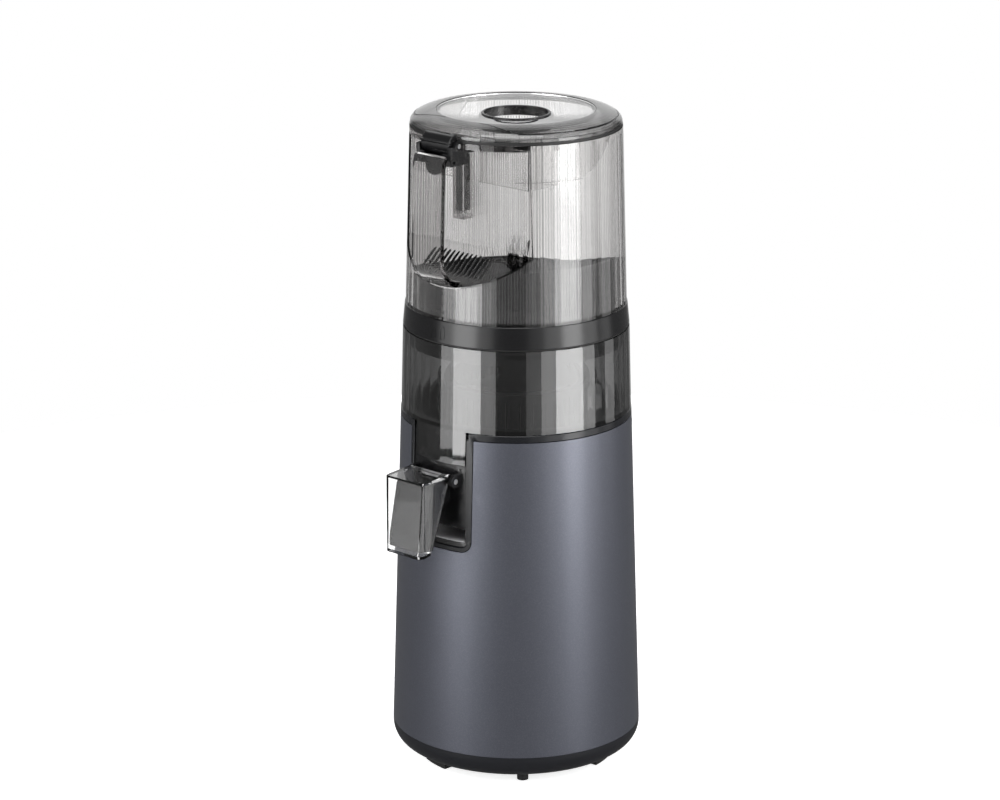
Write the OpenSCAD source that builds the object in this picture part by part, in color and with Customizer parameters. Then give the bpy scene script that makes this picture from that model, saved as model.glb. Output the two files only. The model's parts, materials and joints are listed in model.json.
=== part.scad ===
// Upright cold press juicer: motor base, juicing bowl with screw and strainer,
// tall hopper with a carrying handle, and a lid that hinges above the handle.
// Millimetres, +Z up, the front (juice outlet and handle) faces -Y, the feet stand on Z = 0.

/* [Feet and bottom cover] */
// Height of the rubber feet
foot_h = 7.5; // [5:0.5:12]
// Distance of the feet's middle line inside the shell's lower edge
foot_in = 22.4; // [21:0.1:30]
// Width of a foot, radially
foot_w = 9; // [6:0.5:12]
// Arc that a long foot spans, in degrees
foot_arc = 20; // [12:1:30]
// Radius of a short round foot
stud_r = 4; // [3:0.25:5]
// Number of long feet, with a round foot between each pair
foot_pairs = 3; // [3:1:4]
// Height of the bottom cover
cover_h = 16.5; // [14:0.5:24]
// Radius of the rounded edge of the bottom cover
cover_round = 14; // [8:0.5:14]
// Wall thickness of the bottom cover
cover_wall = 2.5; // [2:0.1:3.5]
// Number of air slots in the bottom cover
vent_count = 18; // [12:2:24]
// Width of an air slot
vent_w = 3; // [2:0.25:4]
// Length of an air slot
vent_l = 16; // [10:1:20]

/* [Body shell] */
// Radius of the shell at its lower edge
shell_low_r = 87.4; // [84:0.2:92]
// Radius of the shell at its upper edge
shell_top_r = 80.3; // [79:0.1:82]
// Height of the shell
shell_h = 224.6; // [215:0.2:240]
// Wall thickness of the shell
shell_wall = 2.4; // [1.8:0.1:2.8]
// Half width of the front opening in the shell
notch_half = 28.8; // [26:0.2:32]
// Height of the front opening, down from the shell's upper edge
notch_h = 79.6; // [72:0.1:88]
// Corner radius of the front opening
notch_round = 8; // [5:0.5:10]
// Width of the trim band round the front opening
trim_w = 3.6; // [2.5:0.1:4.5]
// Height of the trim ring above the shell
trim_h = 5.1; // [3.5:0.1:7]
// Half width of the rear opening for the pulp outlet
pulp_half = 20; // [18:0.5:24]
// Height of that opening, down from the shell's upper edge
pulp_h = 54.6; // [53:0.1:62]

/* [Deck] */
// Depth of the deck's upper face below the shell's upper edge
deck_drop = 56.6; // [54:0.1:60]
// Thickness of the deck plate and of its walls
deck_wall = 1.9; // [1.5:0.1:2.4]
// Gap between the deck's round wall and the shell's inner face
deck_gap = 1.3; // [0.9:0.1:1.8]
// Thickness of the floor under the juice outlet
floor_t = 3.4; // [2.4:0.1:5]
// Depth of the recess behind the juice outlet, from the middle of the machine
recess_back = 50; // [46:1:54]
// Radius of the four posts that carry the gearbox
post_r = 5; // [4:0.25:6.5]
// Distance of the posts' middle inside the deck's round wall
post_in = 14.6; // [13:0.1:17]

/* [Motor] */
// Radius of the motor can
can_r = 44; // [38:1:50]
// Height of the motor can
can_h = 74; // [60:1:78]
// Wall thickness of the motor can
can_wall = 1.6; // [1:0.1:2.5]
// Radius of the rotor
rotor_r = 24; // [18:0.5:28]
// Height of the rotor
rotor_h = 40; // [30:1:46]
// Radius of the motor shaft
motor_shaft_r = 4; // [3:0.25:5]
// Number of stator teeth
stator_teeth = 12; // [9:3:18]
// Radius of the cooling fan
fan_r = 37; // [30:1:40]
// Number of fan blades
fan_blades = 9; // [5:1:13]
// Height of the fan blades
fan_h = 7; // [5:0.5:9]

/* [Gearbox] */
// Gear module
gear_m = 1.25; // [1.1:0.05:1.3]
// Teeth on each small gear
small_teeth = 12; // [12:1:14]
// Teeth on each large gear
large_teeth = 48; // [44:1:50]
// Face width of the first pair of gears
gear1_w = 8; // [6:0.5:10]
// Face width of the second pair of gears
gear2_w = 14; // [10:0.5:16]
// Wall thickness of the gear housing
gearbox_wall = 2.5; // [2:0.1:3]
// Thickness of the gearbox base plate
gear_plate_t = 4; // [3:0.25:6]
// Radius of the fixed pin that carries the double gear
idler_pin_r = 4; // [3:0.25:4.5]
// Radius of the output shaft
out_shaft_r = 8; // [7:0.25:9]
// Outer radius of the output shaft's bearings
bearing_r = 14; // [12:0.5:16]
// Width of the output shaft's bearings
bearing_w = 8; // [6:0.5:9]

/* [Juicing bowl] */
// Height of the bowl's clear wall above the trim ring
bowl_h = 58; // [50:1:66]
// Step from the shell's upper edge in to the bowl
bowl_step = 0.5; // [0.2:0.1:1]
// Taper of the bowl's radius up to its rim
bowl_taper = 1.5; // [0.8:0.1:2]
// Wall thickness of the bowl
bowl_wall = 2.6; // [2:0.1:2.8]
// Number of flat facets round the bowl and the hopper
facets = 48; // [36:2:60]
// Gap between the bowl's lower part and the deck's round wall
well_gap = 0.7; // [0.5:0.1:2]
// Gap on each side of the bowl's front apron
apron_gap = 2.4; // [2.2:0.1:4]
// Height of the apron
apron_h = 23.6; // [16:0.2:30]

/* [Screw and strainer] */
// Inner radius of the strainer
strainer_r = 46.5; // [42:0.5:50]
// Wall thickness of the strainer
strainer_wall = 1.8; // [1.2:0.1:2.4]
// Height of the strainer
strainer_h = 80; // [70:1:84]
// Number of strainer slots in a row
strainer_slots = 36; // [24:2:48]
// Width of a strainer slot
slot_w = 1.6; // [1:0.1:2]
// Gap between screw and strainer
screw_gap = 1.2; // [0.8:0.1:2]
// Height of the screw's helical part
screw_h = 84; // [74:1:88]
// Radius of the screw's core at the bottom
core_low_r = 22; // [18:0.5:26]
// Radius of the screw's core at the top
core_top_r = 13; // [11:0.5:16]
// Turns of each of the screw's two flights
flight_turns = 1.25; // [0.75:0.25:1.75]
// Width of a flight in plan, at the core
flight_w = 9; // [6:0.5:12]
// Across-flats size of the hex drive
hex_af = 12; // [10:0.25:13]
// Height of the cutter above the helical part
cutter_h = 26; // [18:1:30]

/* [Juice outlet] */
// Step from the side of the apron in to the side of the outlet lever
lever_step = 5.55; // [4.9:0.05:6.5]
// Depth of the cover at its top, measured from the front of the outlet housing
lever_depth = 26; // [22:0.5:30]
// Height of the cover
lever_h = 55; // [48:0.5:58]
// Wall thickness of the cover
lever_wall = 1.8; // [1.4:0.1:2.4]
// Corner radius of the cover, seen from above
lever_round = 4.5; // [3:0.25:6]
// Distance of the lever's pivot outside the shell's upper edge
pivot_out = 3.7; // [2.7:0.1:4.7]
// Height of the lever's pivot below the apron's lower edge
lever_pivot_drop = 9.9; // [8:0.1:12]
// Radius of the lever's pin
lever_pin_r = 1.8; // [1.5:0.1:2.2]
// Radius of the juice passage
juice_r = 8; // [6:0.25:9]
// Height of the outlet housing
housing_h = 45; // [42:0.5:48]

/* [Collar and hopper] */
// Height of the collar
collar_h = 15.3; // [12:0.1:20]
// Step from the bowl's rim in to the collar
collar_step = 0.1; // [0:0.1:0.6]
// Taper of the collar's radius
collar_taper = 1.5; // [1:0.1:1.9]
// Thickness of the seal under the collar
seal_t = 0.9; // [0.6:0.1:1.6]
// Height of the hopper above the collar
hopper_h = 123.1; // [110:0.5:135]
// Step from the collar's upper edge in to the hopper
hopper_step = 0.5; // [0.3:0.1:1]
// Taper of the hopper's radius up to its rim
hopper_taper = 3.4; // [2.6:0.1:4]
// Wall thickness of the hopper
hopper_wall = 2.4; // [2:0.1:2.8]
// Height of the hopper's rim ring
rim_h = 4; // [3:0.25:6]
// Depth of the pocket behind the handle, inwards from the hopper's rim
pocket_d = 24.8; // [21:0.1:28]
// Height of the pocket's back wall above the collar, where the ramp begins
pocket_z = 46.9; // [42:0.5:50]
// Slope of the ramp under the handle, as fall over run
ramp_slope = 0.847; // [0.7:0.01:1]
// Height of the funnel's band above the collar, on its high side
funnel_h = 37; // [30:0.5:42]
// Height of the funnel's band above the collar, on its low side
funnel_low_h = 11; // [9:0.5:14]
// Step from the strainer's inner face out to the funnel's throat
throat_step = 2; // [0.5:0.1:4]
// Half arc of a bayonet lug, in degrees
lug_half = 9; // [6:0.5:12]
// Number of bayonet lugs
lug_count = 4; // [3:1:5]

/* [Handle] */
// Half width of the handle strap
strap_half = 13.2; // [11:0.2:16]
// Thickness of the strap
strap_t = 3.6; // [3:0.1:5]
// Reach of the strap's outer face beyond the lid's hinge axis, at its foot
strap_low_out = 16.3; // [14:0.1:19]
// Reach of the strap's outer face beyond the lid's hinge axis, at its top
strap_top_out = 14.2; // [13.4:0.1:15]
// Outer radius of the strap's lower bend
strap_low_round = 19.8; // [16:0.2:20]
// Outer radius of the strap's upper bend
strap_top_round = 10; // [9:0.1:11]
// Width of the interlock rod's sleeve
sleeve_w = 9.4; // [8.4:0.1:12]
// Depth of the sleeve in front of the pocket's back wall
sleeve_d = 10.2; // [9:0.1:12]
// Length of the sleeve below the hopper's rim ring
sleeve_h = 52; // [42:0.5:56]
// Width of the interlock rod
rod_w = 5.6; // [4.5:0.1:6]
// Travel of the interlock rod
rod_travel = 3; // [2:0.25:4]

/* [Lid] */
// Step from the hopper's rim in to the lid's lower edge
lid_step = 0.5; // [0:0.1:1]
// Height of the lid's lower vertical edge
lid_edge_h = 2.6; // [2:0.1:4]
// Height of the lid above the hopper rim
lid_h = 10.6; // [9:0.1:14]
// Radius of the raised rim round the lid's dish
dish_r = 54.5; // [50:0.5:58]
// Wall thickness of the lid
lid_wall = 2.2; // [1.6:0.1:2.6]
// Fall of the dish from its rim to the feed hole
dish_drop = 3; // [2:0.1:4]
// Radius of the feed hole
port_r = 22; // [18:0.5:26]
// Wall thickness of the feed hole's collar
port_wall = 1.6; // [1.2:0.1:2.2]
// Height of the feed hole's collar
port_h = 6; // [5:0.25:8]
// Depth of the lid's inner skirt at the front
skirt_h = 32; // [26:0.5:34]
// Wall thickness of the skirt
skirt_wall = 1.6; // [1.2:0.1:2]
// Distance of the hinge axis outside the hopper's rim
hinge_out = 1.2; // [0.8:0.1:1.8]
// Height of the hinge axis below the lid's lower edge
hinge_drop = 2; // [1.6:0.1:2.4]
// Radius of the hinge pin
hinge_pin_r = 1.6; // [1.3:0.1:1.8]
// Half width of the lid's hinge barrel
barrel_half = 12.4; // [10:0.2:12.4]
// Radius of the lid's hinge barrel
barrel_r = 7; // [6.4:0.1:7.2]
// Distance that the thumb tab reaches beyond the hinge axis
tab_reach = 8.2; // [7.4:0.1:8.4]

/* [Fits] */
// Gap between fixed pieces that sit side by side
fit = 0.2; // [0.1:0.05:0.3]
// Gap between pieces that slide or swing past each other
slide = 0.4; // [0.3:0.05:0.5]
// Height of the gap under a piece that rests on another and lifts off
seat = 0.3; // [0.25:0.05:0.4]
// Radial clearance between a pin or shaft and its bore
run = 0.05; // [0.03:0.01:0.08]

/* [Hidden] */
$fn = 96;
eps = 0.01;
far = 200;
// Turn of a facet's edge from the front
facet_turn = 1.9;

// Heights of the main levels
shell_z0 = foot_h + cover_h;
shell_z1 = shell_z0 + shell_h;
trim_z1 = shell_z1 + trim_h;
bowl_z0 = trim_z1 + seat;
bowl_z1 = bowl_z0 + bowl_h;
seal_z0 = bowl_z1 + seat;
collar_z0 = seal_z0 + seal_t;
collar_z1 = collar_z0 + collar_h;
rim_z1 = collar_z1 + hopper_h;
roof_z0 = rim_z1 - rim_h;
lid_z0 = rim_z1 + slide;
lid_z1 = lid_z0 + lid_h;
notch_z0 = shell_z1 - notch_h;
pulp_z0 = shell_z1 - pulp_h;
deck_z1 = shell_z1 - deck_drop;
deck_z0 = deck_z1 - deck_wall;
well_z0 = deck_z1 + seat;
well_z1 = well_z0 + bowl_wall;
apron_z0 = bowl_z0 - apron_h;
housing_z1 = apron_z0 - fit;
housing_z0 = housing_z1 - housing_h;
pivot_z = apron_z0 - lever_pivot_drop;
recess_z0 = notch_z0 + trim_w;
recess_z1 = recess_z0 + floor_t;

// Radii and distances that follow from the shell, one piece after the other
foot_circle_r = shell_low_r - foot_in;
deck_r = shell_top_r - shell_wall - deck_gap;
well_r = deck_r - deck_wall - well_gap;
post_circle_r = deck_r - post_in;
bowl_low_r = shell_top_r - bowl_step;
bowl_top_r = bowl_low_r - bowl_taper;
collar_low_r = bowl_top_r - collar_step;
collar_top_r = collar_low_r - collar_taper;
hopper_low_r = collar_top_r - hopper_step;
hopper_top_r = hopper_low_r - hopper_taper;
lid_r = hopper_top_r - lid_step;
apron_half = notch_half - trim_w - apron_gap;
lever_half = apron_half - lever_step;
throat_r = strainer_r + throat_step;
pocket_w = hopper_top_r - pocket_d;
hinge_w = hopper_top_r + hinge_out;
strap_low_w = hinge_w + strap_low_out;
strap_top_w = hinge_w + strap_top_out;
lever_pivot_w = shell_top_r + pivot_out;

// Radii at a height, which follow each wall's taper
function shell_r(z) = shell_low_r + (shell_top_r - shell_low_r) * (z - shell_z0) / shell_h;
function shell_in(z) = shell_r(z) - shell_wall;
function bowl_r(z) = bowl_low_r + (bowl_top_r - bowl_low_r) * (z - bowl_z0) / bowl_h;
function hopper_r(z) = hopper_low_r + (hopper_top_r - hopper_low_r) * (z - collar_z1) / hopper_h;
function hopper_in(z) = hopper_r(z) - hopper_wall;
// Height of the ramp under the handle, for a face that lies g behind the outer one
function ramp_z(w, g) =
    collar_z1 + pocket_z - ramp_slope * (w - pocket_w) - g * sqrt(1 + pow(ramp_slope, 2));

// ---------- Helpers ----------

// Extrudes a side profile, drawn as [distance to the front, height], across the machine
module across(half) {
    translate([half, 0, 0])
        rotate([90, 0, -90])
            linear_extrude(2 * half)
                children();
}

// Extrudes a front profile, drawn as [x, height], from one distance to the front to another
module forward(w0, w1) {
    translate([0, -w0, 0])
        rotate([90, 0, 0])
            linear_extrude(w1 - w0)
                children();
}

// Round bar along X
module cross_bar(w, z, r, half) {
    translate([-half, -w, z])
        rotate([0, 90, 0])
            cylinder(r = r, h = 2 * half);
}

// Round bar that runs to the front
module front_bar(x, z, r, w0, w1) {
    translate([x, -w0, z])
        rotate([90, 0, 0])
            cylinder(r = r, h = w1 - w0);
}

// Upright round bar
module post(x, y, r, z0, z1) {
    translate([x, y, z0])
        cylinder(r = r, h = z1 - z0);
}

// Round tube about the machine's axis
module ring(r_in, r_out, z0, z1) {
    difference() {
        post(0, 0, r_out, z0, z1);
        post(0, 0, r_in, z0 - 1, z1 + 1);
    }
}

// Tapered tube about the machine's axis
module cone_ring(in0, in1, out0, out1, z0, z1) {
    rotate_extrude()
        polygon([[in0, z0], [out0, z0], [out1, z1], [in1, z1]]);
}

// Rectangle with rounded lower corners and an open top, as a front profile
module u_shape(half, z0, z1, r) {
    translate([-half, z0 + r])
        square([2 * half, z1 - z0 - r]);
    translate([-half + r, z0])
        square([2 * (half - r), z1 - z0]);
    for (s = [-1, 1])
        translate([s * (half - r), z0 + r])
            circle(r);
}

// Rectangle with four rounded corners, centred
module rounded_rect(x, y, r) {
    square([x - 2 * r, y], center = true);
    square([x, y - 2 * r], center = true);
    for (i = [-1, 1], j = [-1, 1])
        translate([i * (x / 2 - r), j * (y / 2 - r)])
            circle(r);
}

// Part of a ring, between two angles that are measured from the front
module arc_band(r_in, r_out, a0, a1, z0, z1) {
    translate([0, 0, z0])
        rotate([0, 0, a0 - 90])
            rotate_extrude(angle = a1 - a0)
                translate([r_in, 0])
                    square([r_out - r_in, z1 - z0]);
}

// Tapered solid with flat facets, one edge of which lies at the given turn from the front
module faceted(r0, r1, z0, z1) {
    rotate([0, 0, facet_turn])
        translate([0, 0, z0])
            linear_extrude(height = z1 - z0, scale = r1 / r0)
                polygon([for (i = [0 : facets - 1]) r0 * [sin(i * 360 / facets), -cos(i * 360 / facets)]]);
}

// ---------- Feet and bottom cover ----------

cover_low_r = shell_low_r - cover_round;
cover_screw_circle = foot_circle_r - foot_w - 3;
screw_r = 2;
screw_head_r = 3.6;
foot_step = 180 / foot_pairs;
foot_phase = -14;
screw_angles = [45, 135, 225, 315];

// Section of the bottom cover: a dish with a rounded edge, grown inwards by g
module cover_section(g) {
    r = cover_round - g;
    z = foot_h + g;
    translate([0, z])
        square([cover_low_r, shell_z0 - z + g]);
    translate([0, foot_h + cover_round])
        square([shell_low_r - g, shell_z0 - foot_h - cover_round + g]);
    translate([cover_low_r, foot_h + cover_round])
        circle(r);
}

module feet() {
    color("#1b1b1c")
        for (i = [0 : foot_pairs - 1]) {
            rotate([0, 0, foot_phase + 2 * i * foot_step]) {
                arc_band(foot_circle_r - foot_w / 2, foot_circle_r + foot_w / 2,
                         -foot_arc / 2, foot_arc / 2, 0, foot_h);
            }
            rotate([0, 0, foot_phase + (2 * i + 1) * foot_step])
                post(0, -foot_circle_r, stud_r, 0, foot_h);
        }
}

module bottom_cover() {
    color("#2f3136") {
        difference() {
            intersection() {
                rotate_extrude()
                    intersection() {
                        difference() {
                            cover_section(0);
                            cover_section(cover_wall);
                        }
                        square([far, shell_z0 - fit]);
                    }
                post(0, 0, far, foot_h, shell_z0 - fit);
            }
            for (i = [0 : vent_count - 1])
                rotate([0, 0, i * 360 / vent_count])
                    translate([cover_screw_circle - vent_l - 2 * screw_head_r, -vent_w / 2, foot_h - 1])
                        cube([vent_l, vent_w, cover_wall + 2]);
            for (a = screw_angles)
                rotate([0, 0, a])
                    post(cover_screw_circle, 0, screw_r + run, foot_h - 1, shell_z0);
        }
        for (x = [-1, 1], y = [-1, 1])
            post(x * board_hole_x, board_y + y * board_hole_y, board_boss_r, foot_h + cover_wall, board_z0);
    }
}

module base_screws() {
    color("#8d9094")
        for (a = screw_angles)
            rotate([0, 0, a]) {
                post(cover_screw_circle, 0, screw_r, foot_h, foot_h + cover_wall + 9);
                post(cover_screw_circle, 0, screw_head_r, foot_h - 2, foot_h);
            }
}

// ---------- Body shell ----------

gland_z = shell_z0 + 14;
gland_r = 7;
gland_bore_r = 3.2;
gland_flange = 2.4;
gland_len = 14;
switch_up = 46;
switch_z = shell_z0 + switch_up;
switch_x = 21;
switch_h = 30;
switch_wall = 2;
switch_depth = 14;

// Upright ribs inside the shell, with a blind hole for each cover screw
rib_r = 4.5;
rib_h = 30;

module body_shell() {
    color("#4a4f5b") {
        difference() {
            cone_ring(shell_in(shell_z0), shell_in(shell_z1), shell_low_r, shell_top_r, shell_z0, shell_z1);
            forward(0, far)
                u_shape(notch_half, notch_z0, far * 2, notch_round);
            rotate([0, 0, pulp_turn])
                forward(0, far)
                    u_shape(pulp_half + trim_w, pulp_z0, far * 2, notch_round);
            front_bar(0, gland_z, gland_r + fit, -far, 0);
            forward(-far, 0)
                translate([0, switch_z])
                    square([switch_x + 2 * fit, switch_h + 2 * fit], center = true);
        }
        for (a = screw_angles)
            rotate([0, 0, a])
                difference() {
                    union() {
                        post(cover_screw_circle, 0, rib_r, shell_z0 - cover_h + cover_wall + fit,
                            shell_z0 + rib_h);
                        translate([cover_screw_circle, -shell_wall / 2, shell_z0 + fit])
                            cube([
                                shell_in(shell_z0 + rib_h) - cover_screw_circle + shell_wall / 2,
                                shell_wall, rib_h
                            ]);
                    }
                    post(cover_screw_circle, 0, screw_r + run, 0, shell_z0);
                }
    }
}

module cord_gland() {
    color("#1b1b1c") {
        difference() {
            union() {
                front_bar(0, gland_z, gland_r, -shell_low_r - gland_flange, -shell_low_r + gland_len);
                front_bar(0, gland_z, gland_r + gland_flange, -shell_low_r - gland_flange,
                    -shell_r(gland_z - gland_r * 2));
            }
            front_bar(0, gland_z, gland_bore_r, -far, 0);
        }
    }
}

// Distance of the switch's outer face behind the middle
switch_face = shell_r(switch_z - switch_h / 2) + 0.8;

module switch_frame() {
    color("#1d1e20")
        difference() {
            union() {
                forward(-switch_face, switch_depth - switch_face)
                    translate([0, switch_z])
                        square([switch_x, switch_h], center = true);
                forward(-switch_face - 1, -switch_face + 0.5)
                    translate([0, switch_z])
                        rounded_rect(switch_x + 4, switch_h + 4, 2);
            }
            forward(-far, switch_depth - switch_face - switch_wall)
                translate([0, switch_z])
                    square([switch_x - 2 * switch_wall, switch_h - 2 * switch_wall], center = true);
        }
}

rocker_half = switch_x / 2 - switch_wall - slide;
rocker_reach = switch_h / 2 - switch_wall - 1.2;
rocker_w = -switch_face + 1.5;

module switch_rocker() {
    color("#303236")
        across(rocker_half)
            translate([rocker_w, switch_z])
                difference() {
                    polygon([
                        [4.5, -4], [4.5, 4], [-1.5, rocker_reach], [-4.5, rocker_reach],
                        [-3.2, 0], [-4.5, -rocker_reach], [-1.5, -rocker_reach]
                    ]);
                    circle(1.5 + run);
                }
}

// ---------- Trim and deck ----------

pulp_turn = 180;
gap_half = notch_half - trim_w;

// Outer block of a U-shaped frame, before its opening is cut
module trim_block(half, z0) {
    forward(deck_r / 2, far)
        u_shape(half - fit, z0 + fit, trim_z1 + 1, notch_round - fit);
}

module top_trim() {
    color("#3b3c40")
        difference() {
            intersection() {
                rotate_extrude()
                    polygon([
                        [shell_in(notch_z0), notch_z0],
                        [shell_r(notch_z0), notch_z0],
                        [shell_r(trim_z1), trim_z1],
                        [deck_r - deck_wall, trim_z1],
                        [deck_r - deck_wall, shell_z1 + fit],
                        [shell_in(shell_z1 + fit), shell_z1 + fit]
                    ]);
                union() {
                    post(0, 0, far, shell_z1 + fit, far * 2);
                    trim_block(notch_half, notch_z0);
                    rotate([0, 0, pulp_turn])
                        trim_block(pulp_half + trim_w, pulp_z0);
                }
            }
            forward(0, far)
                u_shape(gap_half, recess_z0, far * 2, notch_round - trim_w);
            rotate([0, 0, pulp_turn])
                forward(0, far)
                    u_shape(pulp_half, pulp_z0 + trim_w, far * 2, notch_round - trim_w);
        }
}

hub_r = 17;
hub_drop = 8;
bearing_lip = 3;
pulp_bay = 14;
pad_t = 0.8;
pad_in = 1.5;

// Block of the deck that fills a framed opening, from a distance to the front outwards
module bay_block(half, z0, w) {
    forward(w, far)
        u_shape(half - fit, z0 + fit, shell_z1, notch_round - trim_w);
}

module deck() {
    inner_half = gap_half - fit - deck_wall;
    pulp_inner = pulp_half - fit - deck_wall;
    color("#141415")
        difference() {
            intersection() {
                union() {
                    post(0, 0, deck_r, deck_z0, deck_z1);
                    ring(deck_r - deck_wall, deck_r, deck_z0, shell_z1);
                    post(0, 0, hub_r + deck_wall, deck_z0 - hub_drop, deck_z1);
                    bay_block(gap_half, recess_z0, recess_back - deck_wall);
                    for (a = screw_angles)
                        rotate([0, 0, a])
                            post(post_circle_r, 0, post_r, gear_z0, deck_z0 + eps);
                    rotate([0, 0, pulp_turn])
                        bay_block(pulp_half, pulp_z0 + trim_w, recess_back + pulp_bay);
                }
                union() {
                    cone_ring(0, 0, shell_r(notch_z0) - shell_wall - fit, shell_in(shell_z1) - fit,
                              notch_z0, shell_z1);
                    post(0, 0, shell_in(shell_z1), 0, notch_z0 + eps);
                    bay_block(gap_half, recess_z0, 0);
                    rotate([0, 0, pulp_turn])
                        bay_block(pulp_half, pulp_z0 + trim_w, 0);
                }
                cone_ring(0, 0, shell_r(0) - 1, shell_r(shell_z1) - 1, 0, shell_z1);
            }
            post(0, 0, deck_r - deck_wall, deck_z1, far * 2);
            forward(recess_back, far)
                translate([-inner_half, recess_z1])
                    square([2 * inner_half, far]);
            rotate([0, 0, pulp_turn])
                forward(recess_back + pulp_bay + deck_wall, far)
                    translate([-pulp_inner, pulp_z0 + trim_w + deck_wall])
                        square([2 * pulp_inner, far]);
            post(0, 0, hub_r, 0, deck_z1 - deck_wall);
            post(0, 0, bearing_r - bearing_lip, 0, far);
        }
}

module recess_floor() {
    half = gap_half - 2 * fit - deck_wall;
    color("#b9bbbe")
        intersection() {
            forward(recess_back + fit, far)
                translate([-half, recess_z1])
                    square([2 * half, pad_t]);
            post(0, 0, shell_r(recess_z1) - pad_in, 0, far);
        }
}

module shaft_seal() {
    color("#2a2a2c") {
        ring(out_shaft_r + run, bearing_r - bearing_lip - run, deck_z1 - deck_wall, deck_z1 + eps);
        ring(out_shaft_r + run, bearing_r - bearing_lip / 2, deck_z1, deck_z1 + seat / 2);
    }
}

// ---------- Control board ----------

board_x = 60;
board_yw = 34;
board_t = 1.6;
board_y = 34;
board_hole_x = board_x / 2 - 4;
board_hole_y = board_yw / 2 - 4;
board_boss_r = 3;
board_z0 = foot_h + cover_wall + 2.5;

module control_board() {
    color("#2f6b3c")
        translate([-board_x / 2, board_y - board_yw / 2, board_z0])
            cube([board_x, board_yw, board_t]);
    color("#26282b")
        for (x = [-20, -4, 14])
            translate([x, board_y - 7, board_z0 + board_t])
                cube([9, 12, 4]);
}

// ---------- Motor ----------

can_z0 = shell_z0 + 12;
can_z1 = can_z0 + can_h;
stator_gap = 0.8;
stator_bore = rotor_r + stator_gap;
winding_z0 = can_z0 + 10;
rotor_z0 = can_z0 + can_h / 2 - rotor_h / 2;
motor_bearing_r = 9;
motor_bearing_w = 6;

module motor_can() {
    color("#7c8086")
        difference() {
            post(0, 0, can_r, can_z0, can_z1);
            post(0, 0, can_r - can_wall, can_z0 + can_wall, can_z1 - can_wall);
            post(0, 0, motor_bearing_r + run, can_z0 - 1, can_z1 + 1);
            for (i = [0 : 7])
                rotate([0, 0, i * 45])
                    post(can_r - 14, 0, 4, can_z0 - 1, can_z0 + can_wall + 1);
        }
}

module motor_stator() {
    yoke = 8;
    difference() {
        union() {
            color("#55585c") {
                ring(can_r - can_wall - yoke, can_r - can_wall, rotor_z0, rotor_z0 + rotor_h);
                for (i = [0 : stator_teeth - 1])
                    rotate([0, 0, i * 360 / stator_teeth])
                        translate([stator_bore - 1, -2.4, rotor_z0])
                            cube([can_r - can_wall - yoke - stator_bore + 2, 4.8, rotor_h]);
            }
            color("#a8622d")
                ring(stator_bore + 3, can_r - can_wall - yoke - 1, rotor_z0 - 6, rotor_z0 + rotor_h + 6);
        }
        post(0, 0, stator_bore, 0, far);
    }
}

module motor_bearings() {
    color("#9ea2a8")
        for (z = [can_z0, can_z1 - motor_bearing_w])
            ring(motor_shaft_r + run, motor_bearing_r, z, z + motor_bearing_w);
}

module motor_rotor() {
    color("#6b6e73")
        ring(motor_shaft_r, rotor_r, rotor_z0, rotor_z0 + rotor_h);
}

module motor_shaft() {
    color("#b4b8bd")
        post(0, 0, motor_shaft_r, fan_z0, gear1_z1 + 1);
}

fan_z0 = can_z0 - 2 - fan_h;

module fan() {
    color("#2b2d30") {
        ring(motor_shaft_r, motor_shaft_r + 5, fan_z0, fan_z0 + fan_h);
        ring(motor_shaft_r, fan_r, fan_z0 + fan_h - 1.2, fan_z0 + fan_h);
        for (i = [0 : fan_blades - 1])
            rotate([0, 0, i * 360 / fan_blades])
                translate([motor_shaft_r + 4, -0.8, fan_z0])
                    cube([fan_r - motor_shaft_r - 4.5, 1.6, fan_h]);
    }
}

// ---------- Gear train ----------

gear_z0 = can_z1;
gear_z1 = gear_z0 + gear_plate_t;
gear1_z0 = gear_z1 + 3;
gear1_z1 = gear1_z0 + gear1_w;
gear2_z0 = gear1_z1 + 2;
gear2_z1 = gear2_z0 + gear2_w;
roof_in_z = gear2_z1 + 2;
roof_out_z = roof_in_z + gearbox_wall;
centre_y = gear_m * (small_teeth + large_teeth) / 2;
large_r = gear_m * (large_teeth / 2 + 1);
case_r = large_r + 1.5;
pressure = 25;
tip_factor = 0.8;
root_factor = 1.05;
backlash = 0.16;

function unroll(r, rb) = sqrt(max(pow(r / rb, 2) - 1, 0)) * 180 / PI - acos(min(rb / r, 1));

// Angle between a tooth's middle line and its flank at radius r
function flank(r, teeth) =
    let (rp = gear_m * teeth / 2, rb = rp * cos(pressure))
    90 / teeth - backlash / rp * 45 / PI + unroll(rp, rb) - unroll(max(r, rb), rb);

function tooth_points(teeth, turn) =
    let (
        rp = gear_m * teeth / 2,
        rb = rp * cos(pressure),
        ra = rp + tip_factor * gear_m,
        rf = rp - root_factor * gear_m,
        r0 = max(rb, rf),
        radii = [rf, r0, r0 + (ra - r0) * 0.35, r0 + (ra - r0) * 0.7, ra]
    )
    [
        for (s = [-1, 1], k = [0 : 4])
            let (r = radii[s < 0 ? k : 4 - k], a = turn + s * flank(r, teeth))
            [r * cos(a), r * sin(a)]
    ];

module gear(teeth, z0, z1, phase, bore) {
    translate([0, 0, z0])
        linear_extrude(z1 - z0)
            difference() {
                polygon([for (i = [0 : teeth - 1]) each tooth_points(teeth, phase + i * 360 / teeth)]);
                circle(bore);
            }
}

module motor_pinion() {
    color("#c3c6ca")
        gear(small_teeth, gear1_z0, gear1_z1, 90, motor_shaft_r);
}

module double_gear() {
    color("#d9d4c4")
        translate([0, centre_y, 0]) {
            gear(large_teeth, gear1_z0, gear1_z1, -90 + 180 / large_teeth, idler_pin_r + run);
            ring(idler_pin_r + run, idler_pin_r + 2, gear1_z1 - eps, gear2_z0 + eps);
            gear(small_teeth, gear2_z0, gear2_z1, -90, idler_pin_r + run);
        }
}

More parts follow.
